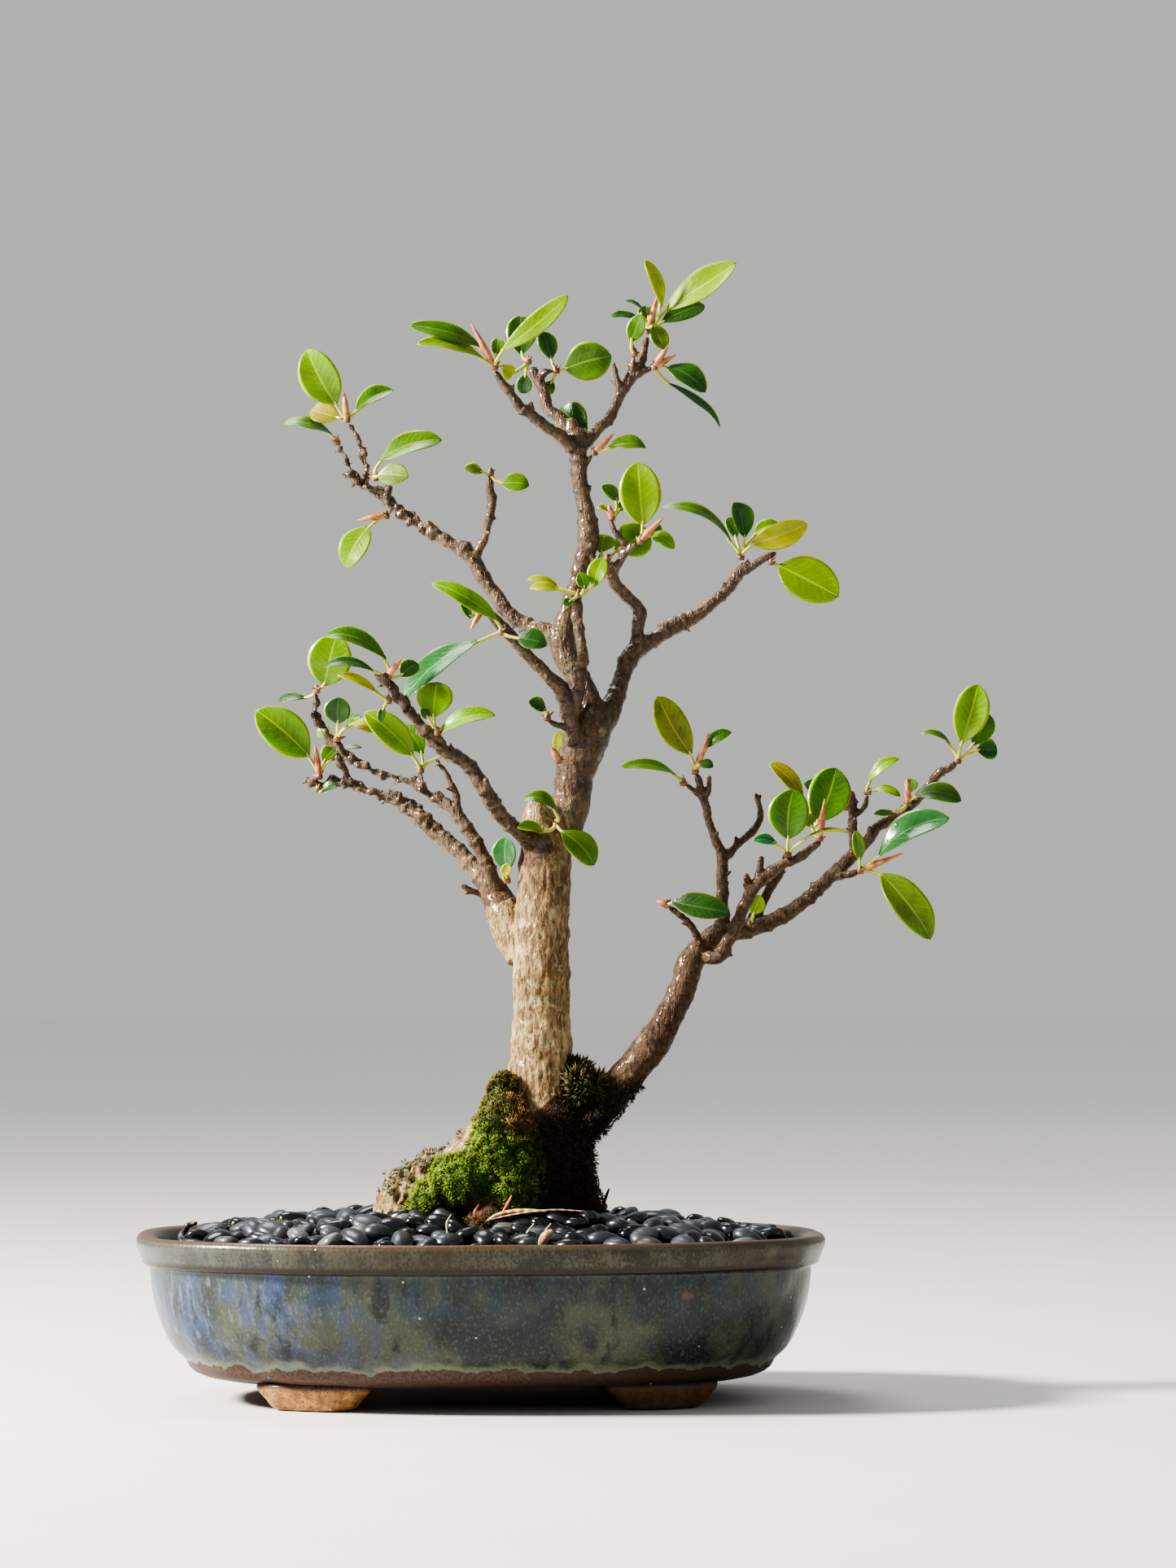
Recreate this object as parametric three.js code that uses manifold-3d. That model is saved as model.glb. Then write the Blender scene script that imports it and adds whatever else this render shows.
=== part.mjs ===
// A ficus bonsai in an oval glazed pot, in millimetres, +Z up.
// The pot stands on four feet. Inside it are two drainage screens, the soil and the tree's roots, and a
// layer of polished pebbles covers the soil. The tree is one woody piece; every leafy shoot on it is a
// piece of its own. The fired pot is one thing, drawn as two pieces: its wall with the feet, and the panel
// of its floor that the drainage holes go through.
import * as THREE from "three";
import { mergeVertices } from "three/addons/utils/BufferGeometryUtils.js";
import Module from "manifold-3d";

const wasm = await Module();
wasm.setup();

// ---------------------------------------------------------------- driving dimensions

const GAP = 0.3; // clearance between pieces that touch

const POT_LENGTH = 250; // over the rim, along X
const POT_DEPTH = 190; // over the rim, along Y
const POT_HEIGHT = 60; // table to rim
const OVAL_POWER = 2.5; // 2 is an ellipse, larger is squarer
const WALL = 6.5; // thickness of the body's wall
const RIM_WIDTH = 8; // width of the rim's top
const LIP_HEIGHT = 11; // height of the band under the rim
const LIP_OVERHANG = 6; // how far the band stands proud of the body
const BASE_INSET = 21; // how much the body narrows from rim to base
const FLOOR = 8; // thickness of the pot's floor
const FLOOR_ROUNDING = 5; // of the corner between floor and wall
const EDGE_ROUNDING = 1.5; // of the rim's and the lip's edges
const BASE_ROUNDING = 3; // of the edge that the base stands on
const FOOT_HEIGHT = 8.5;
const FOOT_WIDTH = 15; // radially
const FOOT_FLARE = 5; // how much a foot narrows on each side towards the table
const FOOT_TURN = 52; // degrees from the X axis to a foot's middle, as an angle of the oval
const FOOT_SPAN = 34; // degrees of the oval that a foot covers at its top
const FOOT_SETBACK = 1; // of a foot's top from the base's edge
const FOOT_UNDERCUT = 4; // how much further back its underside is
const FOOT_TO_PANEL = 2; // between the feet and the floor's panel

const DRAIN_RADIUS = 8;
const DRAIN_SPACING = 90; // between the two holes, along X
const SCREEN_RADIUS = 13;
const SCREEN_THICK = 1.2;
const SCREEN_HOLE = 3.4; // side of one mesh opening
const SCREEN_PITCH = 4.8;

const SOIL_BELOW_RIM = 5; // at the wall
const SOIL_CROWN = 5; // how much higher the soil is in the middle
const PEBBLES_BELOW_RIM = 2; // at the wall
const PEBBLES_CROWN = 11; // how much higher the pebbles are in the middle

const TREE_HEIGHT = 360; // from the soil at the pot's wall to the top leaf
const TREE_TURN = -4.5; // degrees that the tree's front is turned from the pot's
const LIMB_THICKNESS = 1; // 1 keeps the radii listed with the limbs
const LEAF_SIZE = 1; // 1 keeps the leaves as listed with the shoots
const LEAF_THICK = 0.9; // at the midrib
const LEAF_TIP = 0.25; // half the width of a blade's end
const STALK_RADIUS = 0.65;
const SHOOT_RADIUS = 1.7; // of the green knot that a shoot's leaf stalks grow from
const BUD_RADII = [0.8, 1.2, 0.3]; // at a bud's foot, belly and tip

// ---------------------------------------------------------------- drawing of the tree

// The tree is drawn in millimetres, seen from its front: x to the right, y away, z above the table, for a
// soil line at DRAWN_SOIL and a top leaf at DRAWN_TOP.
const DRAWN_SOIL = 55;
const DRAWN_TOP = 415;

// Each limb is a list of [x, y, z, radius] along its centre line, starting inside its parent limb.
const LIMBS = {
  trunk: [
    [18, 0, 46, 20],
    [18, 0, 60, 22],
    [18, 0, 76, 22.5],
    [20, 0, 92, 20.5],
    [21.5, 0, 104, 16],
    [21.5, 0, 115, 12.4],
    [22, -1, 130, 10.9],
    [22.2, -2, 148, 10.2],
    [22, -2, 165, 10],
    [23, -1, 182, 9.5],
    [24, 0, 198, 9.5],
    [29, 2, 208, 8.6],
    [33, 4, 217, 6.8],
    [34, 4, 226, 7.3],
    [37.5, 3, 236, 7.6],
    [41, 2, 245, 7],
    [39.5, 2, 253, 4.6],
    [34.5, 4, 263, 4.5],
    [30, 6, 273, 4.8],
    [30.5, 7, 281, 4],
    [33.5, 6, 291, 3.3],
    [36.5, 4, 301, 3.2],
    [39.2, 2, 313, 3.9],
    [38.2, 1, 323, 3.1],
    [36, 0, 334, 2.9],
    [35.5, 0, 345, 3.2],
    [35.5, 0, 350, 3],
  ],
  old_trunk_cut: [
    [23, -2, 198, 8.6],
    [21.5, -4, 206, 7.2],
    [20.5, -5, 212, 5.2],
    [20.5, -5, 215, 3.6],
  ],
  left_root: [
    [16, 0, 98, 13],
    [4, 0, 87, 14],
    [-9, -1, 78, 12],
    [-19, -2, 76, 11.5],
    [-27, -3, 70.5, 10],
    [-33, -4, 59, 7.5],
    [-37, -5, 49, 4.5],
  ],
  front_root: [
    [15, -6, 84, 15],
    [8, -18, 70, 12],
    [2, -30, 58, 7],
    [-2, -38, 50, 4],
  ],
  right_root: [
    [26, 0, 86, 14],
    [34, -4, 70, 10],
    [44, -10, 56, 6],
    [52, -14, 49, 3.5],
  ],
  back_root: [
    [20, 6, 84, 15],
    [17, 22, 68, 10],
    [12, 36, 56, 6],
    [8, 46, 49, 3.5],
  ],
  right_trunk: [
    [28, 0, 98, 12],
    [38, 0, 103, 9.5],
    [48, -1, 111, 6.9],
    [56, -3, 120, 6],
    [63, -5, 129, 6.2],
    [69, -5, 139, 4.9],
    [73.5, -4, 149, 5],
    [76.5, -3, 158, 4.7],
    [81, -2, 164, 4.2],
    [86, 0, 168, 3.8],
  ],
  right_limb: [
    [83, 0, 166, 4],
    [93, 4, 169, 3.4],
    [102, 7, 171, 3.1],
    [111, 9, 175, 2.8],
    [119, 10, 181, 2.5],
    [127, 11, 188, 2.5],
    [134, 12, 195, 2.4],
    [140, 13, 201, 2.2],
    [148, 14, 209, 1.9],
    [156, 15, 214, 2],
    [162, 15, 220, 1.8],
    [167, 15, 226, 1.8],
    [173, 15, 230, 1.5],
  ],
  right_limb_spur: [
    [137, 12, 198, 1.9],
    [136, 10, 206, 1.7],
    [136, 9, 213, 1.6],
    [135, 8, 219, 1.7],
  ],
  right_limb_spur_side: [
    [136, 9, 211, 1.1],
    [140, 7, 214, 1],
    [141, 6, 218, 0.9],
  ],
  right_limb_side: [
    [129, 11, 189, 1.7],
    [133, 8, 189.5, 1.4],
    [136.5, 6, 190.5, 1.2],
  ],
  right_limb_nub: [
    [139, 12, 200, 1.2],
    [141.5, 10, 204, 1],
    [142, 9, 207, 0.8],
  ],
  right_limb_back: [
    [97, 6, 170, 2],
    [103, 11, 180, 1.8],
    [109, 14, 190, 1.6],
    [112, 15, 197, 1.1],
  ],
  right_front: [
    [79, -2, 160, 3],
    [86, -8, 160, 2.5],
    [91, -12, 167, 2.3],
    [95, -14, 177, 2.2],
    [99, -15, 185, 2.3],
    [106, -16, 191, 2],
    [112.5, -16, 194, 1.7],
    [118, -16, 197.5, 1.6],
    [122, -16, 200.5, 1.3],
  ],
  right_front_nub: [
    [100, -15, 187, 1.4],
    [101, -16, 191, 1.3],
    [101.5, -16, 195, 1],
  ],
  right_front_bud: [
    [98, -15, 185, 1.2],
    [96.5, -16, 187, 1.1],
    [96, -17, 189, 0.8],
  ],
  right_upright: [
    [82, 1, 166, 2.6],
    [88, 5, 172, 2.4],
    [88, 6, 182, 2.2],
    [88, 6, 191, 2.1],
    [88, 6, 197, 2],
    [85.5, 5, 203, 1.6],
    [83, 4, 210, 1.5],
    [81, 3, 218, 1.5],
    [79, 3, 225, 1.2],
  ],
  right_upright_fork: [
    [88, 6, 195, 1.7],
    [94, 8, 201, 1.4],
    [101, 9, 208, 1.3],
    [102, 9, 213, 1.1],
    [100.5, 8, 219, 0.6],
  ],
  right_upright_left: [
    [81, 3, 217, 1.1],
    [78, 3, 220, 1],
    [75.5, 3, 222, 0.9],
  ],
  right_upright_right: [
    [81, 3, 217, 1.1],
    [83, 3, 220, 1],
    [83.3, 3, 225, 0.8],
  ],
  right_low_twig: [
    [79, -3, 159, 2],
    [79.5, -7, 165, 1.5],
    [76, -10, 171, 1.3],
    [72, -11, 175, 1.2],
    [69, -11, 177, 0.9],
  ],
  left_limb: [
    [16, 1, 160, 7],
    [11.5, 4, 168, 7],
    [8, 7, 177, 6.6],
    [3, 11, 186, 4.8],
    [-4, 15, 194, 3.2],
    [-11, 19, 201, 2.8],
    [-18.5, 22, 207, 3.1],
    [-26, 25, 214.5, 2.9],
    [-33, 26, 218.5, 2.4],
    [-42, 27, 221, 2],
    [-50, 28, 224, 1.9],
    [-57, 28, 224, 1.7],
    [-62, 27, 224, 1.6],
    [-65, 26, 226, 1.3],
  ],
  left_limb_stub: [
    [2, 10, 182, 1.4],
    [-3, 8, 183.5, 1.1],
    [-6.5, 7, 185.5, 0.9],
  ],
  left_limb_riser: [
    [-48, 27, 223.5, 1.9],
    [-51, 25, 229, 1.7],
    [-53, 22, 235, 1.6],
  ],
  left_second: [
    [6, 7, 182, 3.2],
    [2, 4, 194, 2.5],
    [-3, 4, 203, 2.5],
    [-9, 5, 212, 2.3],
    [-18, 7, 219, 1.9],
    [-27, 9, 224, 1.7],
    [-38, 10, 227, 1.6],
    [-47, 10, 232, 1.7],
    [-53, 10, 237, 1.8],
    [-58, 9, 243, 1.8],
    [-61, 8, 250, 1.6],
    [-60.5, 8, 255, 1.2],
  ],
  left_second_spur: [
    [-20.5, 7, 219, 1.6],
    [-21.5, 7, 223, 1.4],
    [-22, 7, 226, 1.2],
  ],
  left_second_twig: [
    [-7.5, 5, 209, 1.3],
    [-9, 3, 218, 1.2],
    [-12, 2, 226, 1],
    [-16, 2, 231, 0.8],
  ],
  left_front: [
    [22, -2, 200, 4.6],
    [15, -12, 204, 3],
    [7, -19, 211.5, 2.7],
    [1, -25, 221, 2.8],
    [-5, -28, 229, 2.7],
    [-13, -31, 234, 2.5],
    [-20, -33, 241, 2.4],
    [-27, -34, 250, 2.3],
    [-33, -35, 257, 1.8],
    [-36.5, -35, 260.5, 1.2],
  ],
  left_front_nub: [
    [0, -26, 218, 1.8],
    [2.5, -28, 220, 1.4],
    [2.5, -29, 223, 1],
  ],
  middle_left: [
    [34, -1, 238, 4.4],
    [32, -5, 248, 3.2],
    [29.5, -8, 256, 3],
    [23, -10, 263, 2.4],
    [16, -12, 270, 2.2],
    [10, -14, 277, 2.2],
    [3, -15, 284, 1.7],
  ],
  middle_left_twig: [
    [32, -5, 243, 1.4],
    [28, -7, 243.5, 1.1],
    [25.2, -8, 245, 0.9],
  ],
  middle_front: [
    [33, -4, 246, 3],
    [35.5, -7, 256, 2.2],
    [37, -8, 266, 2.1],
    [36.5, -8, 275, 1.9],
    [35.2, -8, 283, 2],
    [35, -8, 288, 2.1],
  ],
  middle_right: [
    [40, 2, 241, 6],
    [46, 5, 248, 4.6],
    [50, 9, 257, 3.2],
    [52, 12, 264, 3.1],
    [54.5, 14, 270, 3.7],
    [59, 17, 274, 3.4],
    [64, 19, 277, 2.8],
    [70, 22, 281.5, 3.2],
    [77, 24, 285, 2.8],
    [85, 26, 291, 2.2],
    [92, 27, 298, 2.3],
    [97, 27, 304, 2.1],
  ],
  middle_right_tip: [
    [95, 27, 302, 1.9],
    [101, 26.5, 305, 1.5],
    [105, 26, 307.5, 1.4],
    [108, 25, 309, 0.9],
  ],
  middle_right_riser: [
    [58, 16, 273, 2.8],
    [57, 14, 280, 2.3],
    [58, 11, 287, 2.5],
    [53.5, 7, 291, 2.2],
    [49.5, 3, 295, 2.3],
    [46.5, 0, 301, 2.4],
  ],
  middle_right_twig: [
    [47.5, 1, 299, 1.9],
    [50.5, -1, 303.5, 1.5],
    [53, -3, 307, 1.3],
    [56, -4, 309.5, 1.1],
  ],
  middle_right_spur: [
    [51, -1, 304, 1.3],
    [52, -2, 310, 1.3],
    [49, -3, 314, 1],
    [47.5, -3, 318, 0.8],
  ],
  middle_right_back_spur: [
    [46.5, 0, 300, 1.8],
    [42, 1, 303, 1.4],
    [39.8, 0.5, 308, 1.1],
    [38.5, 0, 312, 1],
  ],
  upper_left: [
    [31, 7, 272, 5],
    [24, 9, 278.5, 3.5],
    [17, 12, 281.5, 2.9],
    [10, 14, 286, 2.7],
    [4, 16, 294, 2.6],
    [-1, 17, 302, 2.9],
    [-6, 18, 309, 2.9],
    [-14, 19, 313.5, 2.4],
    [-24, 20, 320, 2.2],
    [-34, 21, 327.5, 2.2],
    [-43, 21, 333.5, 2.1],
    [-50, 21, 338, 1.5],
  ],
  upper_left_fork: [
    [-3.5, 18, 305.5, 2],
    [0.5, 16, 313, 1.5],
    [3, 14, 322, 1.5],
    [3.8, 13, 329, 1.7],
    [2.8, 12, 335.5, 1.2],
  ],
  upper_left_spur: [
    [-42.5, 21, 333, 1.7],
    [-43.5, 20, 342, 1.4],
    [-46, 19, 350, 1.3],
    [-48.5, 18, 355, 1.1],
  ],
  upper_left_end: [
    [-46.5, 21, 336, 1.5],
    [-49.5, 23, 342, 1.2],
    [-52.5, 25, 348, 0.9],
  ],
  upper_left_nub: [
    [-33, 21, 327, 1.5],
    [-34, 20, 330, 1.2],
    [-34.5, 19, 332, 0.7],
  ],
  apex_left: [
    [35, 0, 344, 2.8],
    [28.5, -4, 349.5, 2.2],
    [21, -8, 354.5, 2],
    [14, -10, 360, 1.9],
    [9, -11, 366.5, 1.6],
    [6, -12, 371, 1.2],
  ],
  apex_left_nub: [
    [18, -9, 356.5, 1.4],
    [18.3, -10, 360.5, 1],
  ],
  apex_middle: [
    [35, 0, 346, 3],
    [30, 3, 355, 2.4],
    [24, 6, 361.5, 2.1],
    [22, 7, 368, 2],
    [19, 8, 374.5, 2],
  ],
  apex_middle_twig: [
    [21, 7, 371, 1.5],
    [23, 7, 374, 1.5],
    [25.5, 7.5, 374.6, 0.9],
  ],
  apex_middle_cut: [
    [34.5, 1, 347, 3],
    [33.6, 1, 351, 2.8],
    [33.2, 1, 354.5, 2.2],
  ],
  apex_right: [
    [36, 0, 345, 2.6],
    [42, 1, 351.5, 2.1],
    [47.5, 3, 357.5, 2],
    [51, 4, 365.5, 1.8],
    [55.5, 5, 373, 2.3],
    [58.5, 6, 378.5, 1.7],
    [60.5, 7, 386, 1.3],
  ],
  apex_right_twig: [
    [50.5, 4, 366, 1.4],
    [50, 3, 371, 1.1],
    [48.2, 2, 377, 0.6],
  ],
  apex_right_nub: [
    [55, 5, 372.5, 1.4],
    [55.5, 3.5, 377, 1],
    [55.8, 3, 379, 0.7],
  ],
  apex_right_side: [
    [55, 5, 372.5, 1.9],
    [58.5, 4.5, 374, 1.6],
    [61.5, 4.5, 375, 1.1],
  ],
  apex_low_twig: [
    [36, 0, 337.5, 1.4],
    [38.4, -1, 340, 1.1],
    [40, -2, 342, 0.8],
  ],
};

// Roots that spread under the soil: direction in degrees, reach towards the pot's wall, and radius.
const BURIED_ROOTS = [
  { turn: 20, reach: 0.66, radius: 5 },
  { turn: 110, reach: 0.72, radius: 4.5 },
  { turn: 176, reach: 0.8, radius: 6 },
  { turn: 255, reach: 0.7, radius: 4.5 },
];

// A leaf: where its blade starts and ends, its width, the way its upper side faces (degrees to the right of
// the viewer, and degrees up), and how far the blade arches, as a share of its length.
const leaf = (base, tip, width, right, up, arch = 0.06) => ({ base, tip, width, right, up, arch });

// A shoot: its name, the point that it grows from, its leaves, and the tips of its buds.
const SHOOTS = [
  ["upper_left_tip", [-50, 17.5, 358], [
    leaf([-54, 17, 363.5], [-64.5, 12, 383], 15, -20, 20),
    leaf([-47, 20, 361], [-33, 24, 369.5], 9, 10, 50, 0.1),
    leaf([-53, 22, 359], [-64, 27, 363], 9, 0, 20),
  ], [[-51, 16, 368]]],
  ["upper_left_end", [-54, 26, 350.5], [
    leaf([-56, 26, 353.5], [-73.5, 22, 357.5], 9, 0, 55, 0.12),
  ], []],
  ["upper_left_inner", [-39.5, 18, 336.5], [
    leaf([-38.5, 15, 337], [-27, 10, 336], 9, 0, 20, 0.05),
    leaf([-38, 19, 343], [-15, 17, 350.5], 12, -10, 40, 0.08),
  ], []],
  ["upper_left_hanging", [-35.5, 19, 322.5], [
    leaf([-42, 16, 318], [-50, 13, 303], 11.5, -15, 15),
  ], [[-46, 17, 320.5]]],
  ["upper_left_fork", [3.2, 11, 337.5], [
    leaf([0.5, 10, 337.5], [-6.5, 7, 338.5], 5, 0, 30),
    leaf([7, 10, 333.5], [17.3, 8, 333], 8, 0, 25),
  ], []],
  ["apex_left_tip", [5, -12.4, 373.5], [
    leaf([0.5, -11, 381], [-26, -15, 388], 9, 0, 40, 0.1),
    leaf([1, -14, 376.5], [-23, -21, 380.5], 9, 0, 50, 0.08),
    leaf([7.5, -15, 379], [32, -19, 398.5], 8, 20, 25, 0.05),
    leaf([8, -10, 374.5], [11, -6, 370.5], 6, 10, 10),
    leaf([5.5, -9, 378], [6, -6, 385], 5, 0, 10),
  ], [[-3.5, -14, 389.5]]],
  ["apex_middle_tip", [17, 8.5, 378.5], [
    leaf([14.5, 9.5, 381], [14, 13, 396], 11.5, 0, 10),
    leaf([13.5, 8, 375], [10, 6, 373], 3, 0, 40),
    leaf([16, 11, 374], [15, 14, 367], 6, 0, 10),
  ], []],
  ["apex_middle_side", [27.4, 8, 375], [
    leaf([25.5, 9.5, 379], [22.5, 11, 389.5], 8, 20, 20),
    leaf([30.5, 8, 375.5], [47.5, 6, 380], 14.5, 5, -10, 0.05),
    leaf([26, 10.5, 371.5], [23.5, 12.5, 366.5], 5, 0, 10),
  ], []],
  ["apex_crotch", [39, 6, 350], [leaf([38.5, 8, 353], [28.5, 14, 362], 12, 0, 10)], []],
  ["apex_low_twig", [41.3, -3, 343.6], [
    leaf([46.5, -4, 345], [60, -6, 345.5], 8, 0, 45, 0.14),
  ], [[48.5, -3, 350.5]]],
  ["apex_top", [61.2, 7.4, 389.5], [
    leaf([66, 5, 398], [60, 3, 415], 6, 30, 10, 0.1),
    leaf([67.5, 7.5, 397], [93.5, 3, 413.5], 13, -5, 35),
    leaf([66, 11, 393], [82, 14, 400], 9, 0, 30, 0.05),
    leaf([57.5, 8.5, 394.5], [47, 7, 395], 4, 0, 40),
    leaf([59.5, 6.5, 395], [52, 4, 400], 4, 0, 60, 0.2),
    leaf([63, 4, 391.5], [67, 2, 382], 7, 15, 5),
    leaf([61.3, 10, 394], [60.5, 12, 399.5], 7, 0, 10),
  ], [[64.5, 6, 402.5]]],
  ["apex_right_side", [63.3, 4.4, 375.8], [
    leaf([68, 5, 376], [82, 1, 366], 10, 0, 35, 0.12),
    leaf([68, 8, 370.5], [88.5, 9, 355.5], 6, 0, 60, 0.05),
  ], [[68.5, 2, 383.5], [71.5, 5.5, 380.5]]],
  ["apex_right_nub", [56, 2.6, 380.6], [
    leaf([54.5, 1.5, 384.5], [58.5, 0, 394.5], 7, -10, 10, -0.14),
  ], []],
  ["middle_right_twig", [58, -4.6, 311], [
    leaf([59, -5, 317], [57, -8, 339.5], 15.5, 0, 5, 0.04),
    leaf([62, -1, 314], [70.5, -4, 308.5], 6, 10, 20, 0.14),
    leaf([62, -0.5, 317], [66, 0.5, 314.5], 4, 0, 30),
  ], [[66.5, -6, 319.5]]],
  ["middle_right_spur", [47.6, -3.2, 319.8], [
    leaf([50, -3, 326], [44, -6, 331], 5.5, 0, 25),
    leaf([50, -1, 322], [53, 1, 326.5], 4, 0, 25),
    leaf([46.5, -4, 322], [42.5, -6, 323.5], 3, 0, 40),
  ], [[46.5, -4.5, 324.5]]],
  ["middle_right_riser", [46, -3.4, 304.6], [
    leaf([49, 5, 308], [61, 9, 316.5], 14, 0, 10, 0.04),
    leaf([43.5, 4.5, 307.5], [45, 7.5, 314.5], 9, 0, 10),
  ], []],
  ["middle_front", [35.5, -8.2, 291.2], [
    leaf([41, -9, 294], [44.5, -8, 304.5], 7.5, -10, 10),
    leaf([38, -10, 293], [36, -10, 299], 5, 0, 15),
    leaf([28.5, -7, 294], [17, -9, 296.8], 4.5, 0, 45, 0.08),
    leaf([28, -10, 293], [18, -12, 293.3], 4.5, 0, 35, 0.08),
    leaf([33.2, -11, 289], [30.3, -12.5, 286.8], 3.5, 0, 20),
  ], []],
  ["middle_right_tip_inner", [95.6, 26.5, 308], [
    leaf([92, 25, 313.5], [66, 20, 326], 7, 0, 52, 0.2),
    leaf([97, 26, 315], [93.5, 24, 328], 10.5, 30, 20),
    leaf([100.5, 29.5, 316.5], [110.5, 31, 320.5], 7, 0, 45),
    leaf([99.5, 24, 312.5], [120, 20, 319.5], 10, 0, -10, 0.06),
    leaf([94, 29, 315], [91, 31, 323], 5, 0, 15),
  ], []],
  ["middle_right_tip_outer", [107, 25.3, 306], [
    leaf([109.5, 25, 304.5], [131.5, 20, 292.5], 17, 0, 10, 0.04),
  ], []],
  ["middle_left", [7.6, -17, 276.8], [
    leaf([-0.5, -19, 273.5], [-27, -27, 252], 13, -10, 55, 0.1),
    leaf([6.5, -18, 281], [-17, -23, 294.5], 8, 0, 35, 0.14),
    leaf([13.5, -19, 274.5], [24, -22, 272], 8.5, 0, 20, 0.08),
  ], []],
  ["middle_left_tip", [1, -15.4, 286], [
    leaf([-3.5, -16, 282], [-7, -18, 289], 3.6, 10, 20),
  ], [[-3.5, -17, 277.5]]],
  ["middle_left_twig", [24.2, -8.4, 246.3], [
    leaf([23.8, -9, 249], [17.5, -12, 252], 6, 0, 30),
  ], []],
  ["trunk_bud", [28.4, -6.5, 231], [
    leaf([28, -8, 234], [28.6, -9.5, 241.5], 3.8, -10, 15),
  ], [[25.5, -8.5, 236]]],
  ["left_second_tip", [-60.3, 8, 257.4], [
    leaf([-57.5, 7.5, 259], [-53, 4, 277.5], 16.5, 0, 5, 0.05),
    leaf([-64, 10, 254.5], [-75, 13, 254], 5, 0, 45, 0.1),
  ], []],
  ["left_second_bend", [-52.8, 7.6, 239.6], [
    leaf([-52.5, 6.5, 245], [-52, 4, 254.5], 10, 0, -5),
    leaf([-50, 5.5, 243.5], [-43.5, 2, 247], 5, 0, 50, 0.15),
    leaf([-47.5, 9.5, 245.5], [-37, 8, 242], 6, 0, 35, 0.12),
    leaf([-55, 12, 241.5], [-60.5, 15, 243], 5.5, 0, 15),
  ], []],
  ["left_limb_tip", [-60.4, 26.5, 226.6], [
    leaf([-64, 24, 234], [-83, 18, 250.5], 15.5, -5, 10, 0.05),
    leaf([-57, 25, 232.5], [-44.5, 22, 237], 5, 0, 60, 0.15),
    leaf([-59, 29, 232], [-54, 31, 237.5], 7, 0, 15),
  ], [[-61.8, 24.5, 238.5]]],
  ["left_limb_under", [-60.6, 25, 221.8], [
    leaf([-60, 24, 220.5], [-53.5, 21, 222.8], 5.5, 0, 40, 0.08),
  ], []],
  ["left_second_spur", [-22.2, 7, 228], [
    leaf([-25, 5, 233.5], [-42, 0, 249], 11, 0, 15, 0.05),
    leaf([-21.5, 9, 234], [-29, 13, 245], 8, 0, 10),
    leaf([-15, 8, 233.5], [-9, 9, 232.5], 6, 0, 25),
  ], []],
  ["left_front_inner", [-14.8, -35, 239.8], [
    leaf([-16.4, -33.5, 245], [-15, -30, 258.3], 13, 0, 10, 0.04),
    leaf([-14.5, -34, 239], [6, -38, 245.5], 8, 0, 40, 0.16),
    leaf([-18, -36.5, 244.5], [-20.5, -37.5, 248], 4, 0, 30),
  ], []],
  ["left_front_tip", [-32.5, -35.2, 260], [
    leaf([-33.2, -35, 266], [-55, -39, 275], 8, 0, 40, 0.14),
    leaf([-37.5, -37.5, 261.5], [-55, -41, 263.5], 6, 0, 50, 0.12),
    leaf([-28, -32.5, 260], [-22, -30, 264.8], 7, 0, 15),
  ], [[-27.5, -36, 266]]],
  ["left_front_low", [-32.3, -36.6, 251], [
    leaf([-34, -38, 248.5], [-35, -40, 243], 3, 0, 15),
    leaf([-36, -38.5, 253.5], [-50, -41, 260], 4, 0, 35, 0.08),
  ], []],
  ["trunk_cut", [27.5, -9.4, 207.8], [
    leaf([28, -11.5, 212], [15.5, -16, 217], 8, 0, 50, 0.2),
    leaf([23, -14.5, 204.5], [13.5, -19.5, 206], 6, 0, 40, 0.12),
    leaf([29.5, -12, 205], [41.5, -15, 193], 11, 10, 25, 0.08),
  ], []],
  ["left_crotch", [9.6, -1.6, 187.6], [
    leaf([9.4, -2.6, 190.5], [9.2, -4.5, 203.3], 9.5, -20, 5, 0.08),
    leaf([8, -4.6, 189], [10.4, -6.5, 193.5], 4, 10, 20),
  ], []],
  ["right_upright_tip", [78.2, 2.8, 227.4], [
    leaf([76.5, 1.5, 233.5], [64.5, -2, 254.5], 12, 10, 5, 0.05),
    leaf([82, 4, 236], [91, 2, 242], 5.5, 0, 35, 0.18),
    leaf([79.5, 0.5, 230.5], [84.5, -2, 229], 4.5, 0, 30, 0.12),
  ], [[83.2, 1.5, 241.5]]],
  ["right_upright_left", [73.8, 3, 223.2], [
    leaf([71, 2, 226], [51, -3, 228.5], 6.5, 0, 50, 0.16),
  ], []],
  ["right_low_twig", [67.6, -11.3, 178.4], [
    leaf([69.5, -13.2, 179.4], [90, -18, 175.5], 10.5, 0, 25, 0.08),
  ], [[63.5, -11, 180]]],
  ["right_limb_small", [98.2, 0.4, 171.5], [leaf([99, -1, 175], [101.4, -3, 182], 6.5, 0, 10)], []],
  ["right_front", [111, -18.3, 196.6], [
    leaf([111, -19, 202], [113, -21, 220], 15, 0, 5, 0.05),
    leaf([107, -18.5, 200.5], [98.5, -21, 201.5], 5, 0, 35),
    leaf([116, -19, 201.5], [134, -23, 204], 4.5, 0, 65, 0.1),
  ], []],
  ["right_front_tip", [122.6, -16.4, 202.4], [
    leaf([121.5, -14, 208], [129, -7, 228], 15.5, 0, 5, 0.04),
    leaf([119.7, -14.5, 206.5], [117.6, -16, 211.5], 4.5, 0, 15),
    leaf([117, -9.5, 217], [105, -10, 230], 6.5, 10, 20, 0.1),
  ], [[124.3, -18.5, 216.5]]],
  ["right_limb_spur", [133, 5.8, 214.3], [
    leaf([130.8, 4, 215.5], [118, -1, 223], 9.5, 0, 25, 0.08),
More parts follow.
